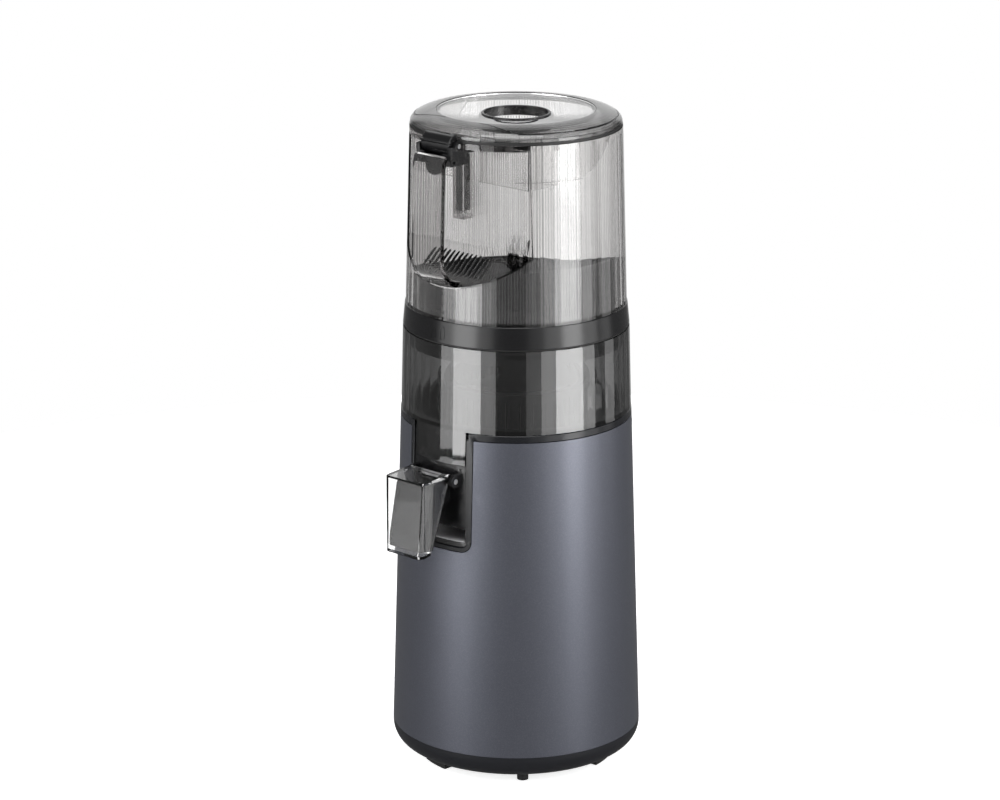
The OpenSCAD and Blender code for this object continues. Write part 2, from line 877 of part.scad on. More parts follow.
module output_gear() {
    color("#c3c6ca")
        gear(large_teeth, gear2_z0, gear2_z1, 90 + 180 / large_teeth, out_shaft_r);
}

module idler_pin() {
    color("#b4b8bd")
        post(0, centre_y, idler_pin_r, gear_z0, roof_out_z);
}

module gear_plate() {
    color("#8a8d92")
        difference() {
            union() {
                post(0, 0, case_r, gear_z0, gear_z1);
                post(0, centre_y, case_r, gear_z0, gear_z1);
                for (a = screw_angles)
                    rotate([0, 0, a])
                        translate([0, -post_r, gear_z0])
                            cube([post_circle_r, 2 * post_r, gear_plate_t]);
                for (a = screw_angles)
                    rotate([0, 0, a])
                        post(post_circle_r, 0, post_r, gear_z0, gear_z1);
            }
            post(0, 0, motor_shaft_r + 2, 0, far);
            post(0, centre_y, idler_pin_r, 0, far);
            for (a = screw_angles)
                rotate([0, 0, a])
                    post(post_circle_r, 0, post_r + fit, 0, far);
        }
}

bearing_z0 = roof_out_z;
bearing_z1 = deck_z0 - bearing_w;

module gear_case(r, z0, z1) {
    post(0, 0, r, z0, z1);
    post(0, centre_y, r, z0, z1);
}

module gear_housing() {
    color("#9a9da2")
        difference() {
            union() {
                gear_case(case_r + gearbox_wall, gear_z1, roof_out_z);
                post(0, 0, hub_r - fit, roof_out_z, deck_z0);
            }
            gear_case(case_r, gear_z1 - 1, roof_in_z);
            post(0, 0, bearing_r, roof_in_z - 1, far * 2);
            post(0, centre_y, idler_pin_r, 0, far);
        }
}

module output_bearings() {
    color("#9ea2a8")
        for (z = [bearing_z0, bearing_z1])
            ring(out_shaft_r + run, bearing_r, z, z + bearing_w);
}

hex_r = hex_af / sqrt(3);
hex_z0 = well_z1 - 2;
hex_z1 = well_z1 + 24;

module output_shaft() {
    color("#b4b8bd") {
        post(0, 0, out_shaft_r, gear2_z0, hex_z0);
        translate([0, 0, hex_z0])
            cylinder(r = hex_r, h = hex_z1 - hex_z0, $fn = 6);
    }
}

// ---------- Juicing bowl ----------

nozzle_wall = 2;
juice_z = well_z1 + juice_r + nozzle_wall + 2;
nozzle_w1 = lever_pivot_w + 2;
housing_front = lever_pivot_w - 5.6;
shelf_back = recess_back + 8;
tab_h = 3;
tab_in = 1.2;
lug_z1 = bowl_z1 - tab_h - 3;
pulp_out = 104;
pulp_wall = 2;
pulp_tube_half = pulp_half - fit - deck_wall - pulp_wall;
pulp_tube_z0 = pulp_z0 + trim_w + deck_wall + slide;
pulp_tube_h = 26;
pulp_round = 1.5;
pulp_tube_z1 = pulp_tube_z0 + pulp_tube_h;
hub_hole_r = out_shaft_r + 2.5;

module apron_box(z0, g) {
    translate([-apron_half + g, -far, z0])
        cube([2 * (apron_half - g), far, bowl_z0 + bowl_wall - z0]);
}

apron_lap = 0.5;

module bowl() {
    low_r = bowl_r(apron_z0);
    color("#5c6066", 0.5)
        difference() {
            union() {
                difference() {
                    faceted(bowl_low_r, bowl_top_r, bowl_z0, bowl_z1);
                    cone_ring(0, 0, bowl_r(bowl_z0) - bowl_wall, bowl_r(bowl_z1 + 1) - bowl_wall,
                              bowl_z0 + bowl_wall, bowl_z1 + 1);
                }
                post(0, 0, well_r, well_z0, bowl_z0 + bowl_wall);
                intersection() {
                    difference() {
                        faceted(low_r, bowl_low_r, apron_z0, bowl_z0 + eps);
                        cone_ring(0, 0, low_r - bowl_wall, bowl_low_r - bowl_wall, apron_z0 - 1,
                                  bowl_z0 + eps);
                    }
                    apron_box(apron_z0, 0);
                }
                intersection() {
                    cone_ring(0, 0, low_r - bowl_wall + apron_lap, bowl_low_r - bowl_wall + apron_lap,
                              apron_z0, bowl_z0 + eps);
                    difference() {
                        apron_box(apron_z0, 0);
                        apron_box(apron_z0 - 1, bowl_wall);
                    }
                }
                for (i = [0 : lug_count - 1]) {
                    a = i * 360 / lug_count + 45;
                    arc_band(bowl_r(bowl_z1) - bowl_wall - tab_in, bowl_r(bowl_z1) - bowl_wall / 2,
                             a - lug_half, a + lug_half, lug_z1 + slide, lug_z1 + slide + tab_h);
                }
            }
            post(0, 0, well_r - bowl_wall, well_z1, bowl_z0 + bowl_wall + eps);
            post(0, 0, hub_hole_r, well_z0 - 1, well_z1 + 1);
            front_bar(0, juice_z, juice_r + nozzle_wall + run, 0, well_r + 1);
            rotate([0, 0, pulp_turn])
                forward(0, well_r + 1)
                    translate([-pulp_tube_half, pulp_tube_z0 + pulp_wall])
                        square([2 * pulp_tube_half, pulp_tube_h - 2 * pulp_wall]);
        }
    color("#5c6066", 0.5)
        ring(strainer_r + strainer_wall + fit, strainer_r + strainer_wall + fit + 1.5, well_z1,
            well_z1 + 4);
}

module bowl_shaft_seal() {
    color("#c9c9c4")
        ring(out_shaft_r + 0.3, hub_hole_r - run, well_z0, well_z1);
}

module outlet_housing() {
    color("#161617")
        difference() {
            union() {
                intersection() {
                    union() {
                        forward(0, housing_front)
                            translate([-apron_half, housing_z0])
                                square([2 * apron_half, housing_z1 - housing_z0]);
                        for (s = [-1, 1])
                            translate([s * (lever_half + slide + apron_half) / 2, 0, 0])
                                across((apron_half - lever_half - slide) / 2)
                                    translate([0, housing_z0])
                                        square([far, housing_z1 - housing_z0]);
                    }
                    cone_ring(0, 0, shell_r(housing_z0) - 1.2, shell_r(housing_z1) - 1.2, housing_z0,
                        housing_z1);
                }
                front_bar(0, juice_z, juice_r + nozzle_wall, well_r - bowl_wall, nozzle_w1);
                for (s = [-1, 1])
                    translate([s * (lever_half + slide + ear_t / 2), 0, 0])
                        across(ear_t / 2) {
                            translate([lever_pivot_w, pivot_z])
                                circle(ear_r);
                            translate([well_r, pivot_z - ear_r])
                                square([lever_pivot_w - well_r, 2 * ear_r]);
                        }
            }
            difference() {
                post(0, 0, well_r + fit, well_z0 - fit, far * 2);
                front_bar(0, juice_z, juice_r + nozzle_wall, well_r - bowl_wall, nozzle_w1);
            }
            forward(-far, shelf_back)
                translate([-far, 0])
                    square([2 * far, far * 2]);
            front_bar(0, juice_z, juice_r, 0, far);
            cross_bar(lever_pivot_w, pivot_z, lever_pin_r, far);
        }
}

module pulp_outlet() {
    color("#161617")
        rotate([0, 0, pulp_turn])
            difference() {
                forward(0, pulp_out)
                    translate([0, (pulp_tube_z0 + pulp_tube_z1) / 2])
                        rounded_rect(2 * (pulp_tube_half + pulp_wall), pulp_tube_h, 2 * pulp_round);
                post(0, 0, well_r + fit, 0, far * 2);
                forward(0, pulp_out - pulp_wall)
                    translate([0, (pulp_tube_z0 + pulp_tube_z1) / 2])
                        rounded_rect(2 * pulp_tube_half, pulp_tube_h - 2 * pulp_wall, pulp_round);
                translate([-pulp_tube_half, -pulp_out + pulp_wall, 0])
                    cube([2 * pulp_tube_half, pulp_out - shell_low_r - 2, pulp_tube_z0 + pulp_wall + 1]);
            }
}

flap_in = 4;
flap_t = 2;
flap_gap = 5;

module pulp_flap() {
    half = pulp_tube_half - pulp_round;
    z0 = pulp_tube_z0 + pulp_wall + flap_gap;
    z1 = pulp_tube_z1 - pulp_wall - fit;
    color("#8f9296")
        rotate([0, 0, pulp_turn]) {
            forward(well_r + flap_in, well_r + flap_in + flap_t)
                translate([-half, z0])
                    square([2 * half, z1 - z0]);
            forward(well_r + flap_in - flap_t / 2, well_r + flap_in + 2.5 * flap_t)
                translate([-half, z1 - flap_t])
                    square([2 * half, flap_t]);
        }
}

// ---------- Strainer and screw ----------

strainer_hem = 8;
strainer_web = 4;

module strainer_band(z0, z1, phase) {
    translate([0, 0, z0])
        linear_extrude(z1 - z0)
            difference() {
                circle(strainer_r + strainer_wall);
                circle(strainer_r);
                for (i = [0 : strainer_slots - 1])
                    rotate((i + phase) * 360 / strainer_slots)
                        translate([0, -slot_w / 2])
                            square([far, slot_w]);
            }
}

module strainer() {
    out = strainer_r + strainer_wall;
    z0 = well_z1 + strainer_hem;
    z1 = well_z1 + strainer_h / 2;
    z2 = z1 + strainer_web;
    z3 = well_z1 + strainer_h - strainer_hem;
    color("#6f7276") {
        ring(strainer_r, out, well_z1, z0 + eps);
        strainer_band(z0, z1, 0);
        ring(strainer_r, out, z1 - eps, z2 + eps);
        strainer_band(z2, z3, 0.5);
        ring(strainer_r, out, z3 - eps, well_z1 + strainer_h);
        ring(strainer_r, out + 4, well_z1 + strainer_h - 4, well_z1 + strainer_h);
    }
}

screw_z0 = well_z1 + 1.5;
screw_z1 = screw_z0 + screw_h;
screw_out_r = strainer_r - screw_gap;
insert_r = hex_r + 3;
insert_h = 22;
cutter_r = throat_r - 3.5;
cutter_t = 5;

module screw() {
    color("#202123") {
        difference() {
            union() {
                rotate_extrude()
                    polygon([
                        [0, screw_z0], [screw_out_r, screw_z0], [screw_out_r, screw_z0 + 3],
                        [core_low_r, screw_z0 + 8], [core_top_r, screw_z1],
                        [core_top_r, screw_z1 + cutter_h - 6],
                        [core_top_r - 6, screw_z1 + cutter_h], [0, screw_z1 + cutter_h]
                    ]);
                for (turn = [0, 180])
                    rotate([0, 0, turn])
                        translate([0, 0, screw_z0 + 2.5])
                            linear_extrude(height = screw_h - 5, twist = -360 * flight_turns,
                                slices = 60, segments = 8)
                                polygon([
                                    [2, -flight_w / 2], [screw_out_r - 1, -flight_w / 4],
                                    [screw_out_r, 0], [screw_out_r - 1, flight_w / 4], [2, flight_w / 2]
                                ]);
                for (turn = [0, 180])
                    rotate([0, 0, turn + 30])
                        intersection() {
                            translate([0, -cutter_t, screw_z1 + cutter_h - 18])
                                cube([cutter_r, cutter_t, 10]);
                            post(0, 0, cutter_r, screw_z1, screw_z1 + cutter_h);
                        }
            }
            post(0, 0, insert_r + run, screw_z0 - 1, screw_z0 + insert_h + 4);
        }
    }
}

module drive_insert() {
    color("#b4b8bd")
        difference() {
            post(0, 0, insert_r, screw_z0, screw_z0 + insert_h);
            translate([0, 0, screw_z0 - 1])
                cylinder(r = hex_r + 0.2, h = insert_h + 2, $fn = 6);
        }
}

// ---------- Juice lever ----------

ear_t = 3;
ear_r = 4.4;
cover_w0 = lever_pivot_w + 3.2;
cover_w1 = cover_w0 + lever_depth;
cover_z1 = pivot_z + 5.5;
cover_z0 = cover_z1 - lever_h;
cover_lean = 2;
cover_foot = 9.3;
eye_r = ear_r - 0.6;
pull_gap = 0.5;
pull_lean = 9.5;
pull_half = lever_half - lever_wall - pull_gap;
pull_back = nozzle_w1 + seat + 7.5;

module lever_side(g) {
    polygon([
        [cover_w0 - (g > 0 ? far : 0), cover_z1 - g],
        [cover_w1 - g, cover_z1 - 1.5 - g],
        [cover_w1 + cover_lean - g, cover_z0 + (g > 0 ? lever_wall : 0)],
        [cover_w1 + cover_lean - cover_foot, cover_z0 + 1.5 + (g > 0 ? lever_wall : 0)],
        [cover_w0 - (g > 0 ? far : 0), cover_z1 - 4 - g]
    ]);
}

module lever_plan(g) {
    depth = cover_w1 + cover_lean - cover_w0 + 20;
    translate([0, -(cover_w1 + cover_lean - g - depth / 2)])
        rounded_rect(2 * (lever_half - g), depth, max(lever_round - g, 1));
}

module lever_cover() {
    color("#c8ccd0", 0.35) {
        difference() {
            intersection() {
                across(lever_half)
                    lever_side(0);
                linear_extrude(far * 2)
                    lever_plan(0);
            }
            intersection() {
                across(lever_half - lever_wall)
                    lever_side(lever_wall);
                linear_extrude(far * 2)
                    lever_plan(lever_wall);
            }
            across(lever_half - lever_wall)
                translate([cover_w0 - 5, cover_z1 - 4 - lever_h])
                    polygon([
                        [0, 0], [0, lever_h + 4 - lever_wall], [8, lever_h + 3 - lever_wall], [21, 6]
                    ]);
        }
        for (s = [-1, 1])
            translate([s * (lever_half - lever_wall / 2), 0, 0])
                across(lever_wall / 2)
                    difference() {
                        union() {
                            translate([lever_pivot_w, pivot_z])
                                circle(eye_r);
                            polygon([
                                [lever_pivot_w, pivot_z + eye_r], [cover_w0 + 1, cover_z1],
                                [cover_w0 + 1, pivot_z - eye_r + 0.4], [lever_pivot_w, pivot_z - eye_r]
                            ]);
                        }
                        translate([lever_pivot_w, pivot_z])
                            circle(lever_pin_r + run);
                    }
    }
}

module lever_pull() {
    color("#4c4d50") {
        difference() {
            intersection() {
                across(pull_half)
                    polygon([
                        [pull_back, pivot_z + 2], [cover_w1 - pull_lean, pivot_z - 2],
                        [cover_w1 + cover_lean - lever_wall - pull_gap, cover_z0 + 4.5],
                        [cover_w1 + cover_lean - 14, cover_z0 + 3.5], [pull_back, juice_z - juice_r - 4]
                    ]);
                linear_extrude(far * 2)
                    lever_plan(lever_wall + pull_gap);
            }
            forward(0, pull_back + 9)
                translate([-(pull_half - 3), cover_z0])
                    square([2 * (pull_half - 3), juice_z - juice_r - 6 - cover_z0]);
        }
        for (s = [-1, 1])
            translate([s * (juice_r + nozzle_wall + slide + pull_half) / 2, 0, 0])
                across((pull_half - juice_r - nozzle_wall - slide) / 2)
                    difference() {
                        union() {
                            translate([lever_pivot_w, pivot_z])
                                circle(eye_r);
                            polygon([
                                [lever_pivot_w, pivot_z + eye_r], [pull_back, pivot_z + 0.5],
                                [pull_back, pivot_z - 8], [lever_pivot_w, pivot_z - eye_r]
                            ]);
                        }
                        translate([lever_pivot_w, pivot_z])
                            circle(lever_pin_r + run);
                    }
    }
}

module lever_pin() {
    color("#7c8086")
        cross_bar(lever_pivot_w, pivot_z, lever_pin_r, lever_half + slide + ear_t);
}

module lever_stopper() {
    color("#3a3b3d") {
        front_bar(0, juice_z, juice_r + 1.5, nozzle_w1 + seat, nozzle_w1 + seat + 3);
        front_bar(0, juice_z, juice_r - 2, nozzle_w1 + seat, pull_back);
    }
}

// ---------- Collar and hopper ----------

spigot_wall = 3;
lug_drop = 5;
collar_web = 2;
ledge_drop = 10;
neck_step = 0.8;
neck_wall = 2;
spigot_r = bowl_r(bowl_z1) - bowl_wall - tab_in - slide;
spigot_in = spigot_r - spigot_wall;
lug_out = bowl_r(bowl_z1) - bowl_wall - slide;
ledge_z = collar_z1 - ledge_drop;
neck_out = hopper_in(collar_z1) - neck_step;
neck_in = neck_out - neck_wall;

module hopper_seal() {
    color("#0e0e0f")
        ring(spigot_r + fit, collar_low_r - 0.6, seal_z0, collar_z0);
}

module collar() {
    color("#37383b") {
        rotate_extrude()
            polygon([
                [spigot_in, lug_z1 - lug_drop], [spigot_r, lug_z1 - lug_drop], [spigot_r, collar_z0],
                [collar_low_r, collar_z0], [collar_top_r, collar_z1], [neck_out + fit, collar_z1],
                [neck_out + fit, collar_z0 + collar_web], [spigot_in, collar_z0 + collar_web]
            ]);
        for (i = [0 : lug_count - 1]) {
            a = i * 360 / lug_count + 45;
            arc_band(spigot_r - 0.5, lug_out, a - lug_half, a + lug_half, lug_z1 - tab_h, lug_z1);
        }
    }
}

module pocket_profile(g) {
    end = far;
    polygon([
        [pocket_w - g, roof_z0], [pocket_w - g, ramp_z(pocket_w - g, g)],
        [end, ramp_z(end, g)], [end, roof_z0]
    ]);
}

strap_foot_in = 3.6;
strap_sink = 1.5;
strap_drop = 15.4;

// The strap's side profile: a lower bend, a straight limb and an upper bend
module strap_profile() {
    low_z = ramp_z(hopper_low_r - strap_foot_in, 0) + strap_low_round - strap_sink;
    top_z = lid_z0 - strap_drop;
    difference() {
        union() {
            intersection() {
                translate([strap_low_w - strap_low_round, low_z])
                    circle(strap_low_round);
                translate([strap_low_w - strap_low_round, low_z - far])
                    square([far, far]);
            }
            intersection() {
                translate([strap_top_w - strap_top_round, top_z])
                    circle(strap_top_round);
                translate([strap_top_w - strap_top_round, top_z])
                    polygon([[0, 0], [far, 0], [far, far * 1.2]]);
            }
            polygon([
                [strap_low_w - strap_low_round, low_z - eps], [strap_low_w, low_z - eps],
                [strap_top_w, top_z + eps], [strap_top_w - strap_top_round, top_z + eps]
            ]);
        }
        translate([strap_low_w - strap_low_round, low_z])
            circle(strap_low_round - strap_t);
        translate([strap_top_w - strap_top_round, top_z])
            circle(strap_top_round - strap_t);
        polygon([
            [strap_low_w - strap_low_round - 1, low_z - eps], [strap_low_w - strap_t, low_z - eps],
            [strap_top_w - strap_t, top_z + eps], [strap_top_w - strap_top_round - 1, top_z + eps]
        ]);
    }
}

module sleeve_outline(g) {
    translate([-sleeve_w / 2 + g, -pocket_w - sleeve_d + g])
        square([sleeve_w - 2 * g, sleeve_d + hopper_wall - 2 * g]);
}

sleeve_wall = 1.4;
sleeve_floor = 2;
sleeve_z0 = roof_z0 - sleeve_h;
bracket_half = 16;
bracket_back = hinge_w - 9.4;
pin_z = lid_z0 - hinge_drop;
screw_x = 11;
screw_w = 62;
small_screw_r = 1.5;

module hopper() {
    color("#6a6d70", 0.5)
        difference() {
            union() {
                difference() {
                    faceted(hopper_low_r, hopper_r(roof_z0), collar_z1, roof_z0 + eps);
                    across(far)
                        pocket_profile(0);
                }
                cone_ring(0, 0, hopper_r(roof_z0), hopper_top_r, roof_z0, rim_z1);
                ring(neck_in, neck_out, ledge_z, collar_z1 + 2);
                translate([0, 0, sleeve_z0])
                    linear_extrude(sleeve_h)
                        sleeve_outline(0);
                difference() {
                    across(strap_half)
                        strap_profile();
                    post(0, 0, hopper_in(collar_z1) - hopper_wall, 0, far * 3);
                }
            }
            difference() {
                cone_ring(0, 0, hopper_in(collar_z1), hopper_in(rim_z1 + 1), collar_z1 + 2, rim_z1 + 1);
                across(far)
                    pocket_profile(hopper_wall);
                translate([-far, -far, roof_z0 - eps])
                    cube([2 * far, far - pocket_w + hopper_wall, far]);
            }
            post(0, 0, neck_in, 0, collar_z1 + 3);
            translate([0, 0, sleeve_z0 + sleeve_floor])
                linear_extrude(far)
                    sleeve_outline(sleeve_wall);
            translate([-bracket_half - fit, -far, roof_z0 - 1])
                cube([2 * (bracket_half + fit), far - bracket_back + fit, far]);
            for (s = [-1, 1])
                post(s * screw_x, -screw_w, small_screw_r, roof_z0 - 1, roof_z0 + rim_h / 2);
        }
}

funnel_wall = 2;
funnel_turn = 60;
throat_h = 8;

module funnel() {
    top_z = collar_z1 + funnel_h;
    rise_z = collar_z1 + funnel_low_h;
    lip_z = rise_z + funnel_wall / 2;
    low_z = ledge_z + funnel_wall;
    foot_z = collar_z1 + neck_wall;
    low_r = hopper_in(foot_z) - fit;
    top_r = hopper_in(top_z) - fit;
    color("#1a1a1b")
        difference() {
            rotate_extrude()
                polygon([
                    [low_r, foot_z], [top_r, top_z], [top_r - funnel_wall, top_z],
                    [low_r - funnel_wall, rise_z], [throat_r, low_z + throat_h],
                    [throat_r, low_z - throat_h / 2], [throat_r + funnel_wall, low_z - throat_h / 2],
                    [throat_r + funnel_wall, low_z + throat_h - funnel_wall / 2],
                    [low_r - funnel_wall, rise_z - funnel_wall], [low_r - funnel_wall, foot_z]
                ]);
            rotate([0, 0, funnel_turn])
                across(far)
                    polygon([
                        [low_r - far, lip_z], [-throat_r, lip_z], [3 * throat_r, 2 * top_z - lip_z],
                        [3 * throat_r, far * 3], [low_r - far, far * 3]
                    ]);
            across(far)
                pocket_profile(hopper_wall + fit);
        }
}

// ---------- Handle bracket, trigger and interlock ----------

sweep_r = tab_reach + 1.1;
block_z0 = pin_z - 12.9;
trigger_w = hinge_w + 5;
trigger_z = block_z0 + 2.6;
trigger_half = 8;
trigger_pin_r = 1.1;
trigger_r = 1.9;
trigger_len = 10;

module handle_bracket() {
    color("#121213")
        difference() {
            union() {
                across(bracket_half) {
                    translate([bracket_back, block_z0])
                        square([hinge_w - bracket_back + 8, pin_z - block_z0]);
                    translate([hinge_w, pin_z])
                        circle(3.1);
                }
                translate([-bracket_half, -bracket_back - 1, roof_z0 - fit - 3])
                    cube([2 * bracket_half, bracket_back + 1 - (screw_w - 3.5), 3]);
            }
            across(barrel_half + slide) {
                translate([hinge_w, pin_z])
                    circle(barrel_r + 1 + slide);
                intersection() {
                    translate([hinge_w, pin_z])
                        circle(sweep_r);
                    translate([hinge_w, 0])
                        square([far, far * 3]);
                }
                translate([bracket_back - 1, pin_z - 3])
                    square([far, far]);
            }
            across(trigger_half + slide)
                translate([trigger_w - trigger_r - slide - 0.8, block_z0 - 1])
                    square([2 * (trigger_r + slide + 0.8), far]);
            cross_bar(hinge_w, pin_z, hinge_pin_r, far);
            cross_bar(trigger_w, trigger_z, trigger_pin_r, far);
            for (s = [-1, 1])
                post(s * screw_x, -screw_w, small_screw_r, 0, far * 3);
        }
}

module bracket_screws() {
    color("#8d9094")
        for (s = [-1, 1]) {
            post(s * screw_x, -screw_w, small_screw_r, roof_z0 - fit - 3, roof_z0 + rim_h / 2);
            post(s * screw_x, -screw_w, 2.6, roof_z0 - fit - 4.6, roof_z0 - fit - 3);
        }
}

module hinge_pin() {
    color("#55585c")
        cross_bar(hinge_w, pin_z, hinge_pin_r, bracket_half);
}

module trigger_pin() {
    color("#55585c")
        cross_bar(trigger_w, trigger_z, trigger_pin_r, bracket_half - 2);
}

module trigger() {
    color("#1c1c1e")
        difference() {
            union() {
                cross_bar(trigger_w, trigger_z, trigger_r, trigger_half);
                forward(trigger_w - 1, trigger_w + 1.4) {
                    translate([-trigger_half, trigger_z - trigger_len + trigger_half])
                        square([2 * trigger_half, trigger_len - trigger_half]);
                    intersection() {
                        translate([0, trigger_z - trigger_len + trigger_half])
                            circle(trigger_half);
                        translate([-far, trigger_z - far])
                            square([2 * far, far]);
                    }
                }
            }
            cross_bar(trigger_w, trigger_z, trigger_pin_r + run, far);
        }
}

rod_z0 = sleeve_z0 + sleeve_floor + rod_travel + slide;
rod_z1 = lid_z0 - slide;
rod_d = sleeve_d - 2 * sleeve_wall - 2 * slide;
rod_w1 = pocket_w + sleeve_d - sleeve_wall - slide;
spring_h = 14;
spring_r = 1.6;
spring_wire = 0.35;

module interlock_rod() {
    color("#1c1c1e")
        difference() {
            translate([-rod_w / 2, -rod_w1, rod_z0])
                cube([rod_w, rod_d, rod_z1 - rod_z0]);
            post(0, rod_d / 2 - rod_w1, spring_r + spring_wire + fit / 2, 0,
                sleeve_z0 + sleeve_floor + spring_h);
        }
}

spring_turns = 6;
spring_steps = 12;

// One ring of points round the spring's wire
function wire_ring(i, n, z0, len) =
    let (a = i * 360 * spring_turns / n, z = z0 + spring_wire + (len - 2 * spring_wire) * i / n)
    [
        for (k = [0 : 5])
            let (b = k * 60, q = spring_r + spring_wire * cos(b))
            [q * cos(a), q * sin(a), z + spring_wire * sin(b)]
    ];

module coil(z0, len) {
    n = spring_turns * spring_steps;
    polyhedron(
        points = [for (i = [0 : n]) each wire_ring(i, n, z0, len)],
        faces = concat(
            [[for (k = [0 : 5]) k]],
            [[for (k = [5 : -1 : 0]) n * 6 + k]],
            [
                for (i = [0 : n - 1], k = [0 : 5], t = [0, 1])
                    let (a = i * 6 + k, b = i * 6 + (k + 1) % 6, c = a + 6, d = b + 6)
                    t == 0 ? [a, c, b] : [b, c, d]
            ]
        )
    );
}

module rod_spring() {
    color("#9ea2a8")
        translate([0, rod_d / 2 - rod_w1, 0])
            coil(sleeve_z0 + sleeve_floor, spring_h);
}

// ---------- Lid ----------

lid_a = lid_r - dish_r;
lid_b = lid_h - lid_edge_h;
slope_steps = 10;
dish_z1 = lid_z1 - 0.4;
port_out = port_r + port_wall;
lip_w = 2.4;

function slope(g) = [
    for (i = [0 : slope_steps])
        let (a = i * 90 / slope_steps)
        [dish_r + (lid_a - g) * sin(a), lid_z1 - g - (lid_b - g) * (1 - cos(a))]
];

groove_r = 69.2;
groove_w = 0.9;
groove_deep = 0.6;
groove_a0 = 15.7;
groove_a1 = 46;

function ease(t) = t < 0 ? 0 : t > 1 ? 1 : t * t * (3 - 2 * t);
function groove_at(a, side) =
    let (
        share = ease((a - groove_a0) / (groove_a1 - groove_a0)),
        r = dish_r + 1.5 + (groove_r - dish_r - 1.5) * share + side
    )
    [r * sin(a), -r * cos(a)];

module groove_band() {
    angles = [for (a = [groove_a0 : 3 : groove_a1]) a];
    for (s = [0, 1])
        mirror([s, 0, 0])
            linear_extrude(far * 3)
                polygon(concat(
                    [for (a = angles) groove_at(a, -groove_w / 2)],
                    [for (i = [len(angles) - 1 : -1 : 0]) groove_at(angles[i], groove_w / 2)]
                ));
    arc_band(groove_r - groove_w / 2, groove_r + groove_w / 2, groove_a1 - 2, 362 - groove_a1, 0, far * 3);
}

module lid_cover() {
    color("#3a3c3f", 0.7)
        difference() {
            rotate_extrude()
                polygon(concat(
                    slope(0),
                    [[lid_r, lid_z0], [lid_r - lid_wall, lid_z0]],
                    [for (i = [slope_steps : -1 : 0]) slope(lid_wall)[i]],
                    [[dish_r, dish_z1 - lid_wall - 1.6], [dish_r - lip_w, dish_z1 - lid_wall - 1.6],
                     [dish_r - lip_w, dish_z1 - lid_wall], [dish_r, dish_z1 - lid_wall]]
                ));
            difference() {
                groove_band();
                rotate_extrude()
                    polygon(concat(
                        [[0, 0], [0, lid_z1 - groove_deep]],
                        [for (p = slope(0)) [p[0], p[1] - groove_deep]],
                        [[lid_r, 0]]
                    ));
            }
        }
}

module lid_dish() {
    color("#8d9093", 0.5)
        rotate_extrude()
            polygon([
                [port_out + fit, dish_z1 - dish_drop], [dish_r - fit, dish_z1],
                [dish_r - fit, dish_z1 - lid_wall + fit],
                [dish_r - lip_w - fit, dish_z1 - lid_wall + fit],
                [port_out + fit, dish_z1 - dish_drop - lid_wall]
            ]);
}

module lid_port() {
    color("#0f0f10") {
        ring(port_r, port_out, dish_z1 - dish_drop - port_h, dish_z1 - dish_drop + 0.8);
        ring(port_out - eps, port_out + 2, dish_z1 - dish_drop - lid_wall - 2,
            dish_z1 - dish_drop - lid_wall - fit);
    }
}

skirt_r = hopper_in(rim_z1) - 1.6;
skirt_flat = pocket_w - hopper_wall - 0.7;
skirt_arc_r = 56;
skirt_bend = 28;
skirt_rise = 4;
skirt_slot = 3.3;

module skirt_plan(g) {
    intersection() {
        circle(skirt_r - g);
        translate([-far, -skirt_flat + g])
            square([2 * far, 2 * far]);
    }
}

// Side profile that the skirt keeps: deep at the front, rising to the back
module skirt_side(low, top) {
    translate([skirt_bend, low + skirt_rise + skirt_arc_r])
        circle(skirt_arc_r);
    polygon([
        [skirt_bend, low + skirt_rise], [skirt_flat + 1, low], [skirt_flat + 1, top], [skirt_bend, top]
    ]);
}

module lid_skirt() {
    low = lid_z0 - skirt_h;
    color("#77797c", 0.5) {
        difference() {
            intersection() {
                translate([0, 0, low])
                    linear_extrude(skirt_h)
                        difference() {
                            skirt_plan(0);
                            skirt_plan(skirt_wall);
                        }
                across(far)
                    skirt_side(low, lid_z0);
            }
            translate([-sleeve_w / 2 - skirt_slot, -far, low - 1])
                cube([sleeve_w + 2 * skirt_slot, far, skirt_h + 1]);
        }
        ring(skirt_r - skirt_wall, lid_r - lid_wall - fit, lid_z0 + 1.2, lid_z0 + 2.8);
        ring(skirt_r - skirt_wall, skirt_r, lid_z0 - eps, lid_z0 + 1.3);
    }
}

module lid_hinge() {
    tab_w1 = hinge_w + tab_reach;
    tab_z1 = pin_z + sqrt(pow(sweep_r - slide, 2) - pow(tab_reach, 2));
    color("#111112")
        difference() {
            across(barrel_half) {
                difference() {
                    translate([hinge_w, pin_z])
                        circle(barrel_r);
                    translate([0, lid_z0 - fit])
                        square([lid_r + fit, far]);
                }
                polygon([
                    [lid_r + fit, pin_z], [tab_w1 - 1.5, pin_z + 1.5], [tab_w1, pin_z + 2.2],
                    [tab_w1, tab_z1], [lid_r + fit, tab_z1]
                ]);
                translate([hinge_w - barrel_r - 1, pin_z - 1])
                    square([barrel_r + 1, lid_z0 - fit - pin_z + 1]);
            }
            post(0, 0, lid_r + fit, lid_z0 - fit, far * 3);
            cross_bar(hinge_w, pin_z, hinge_pin_r + run, far);
        }
}

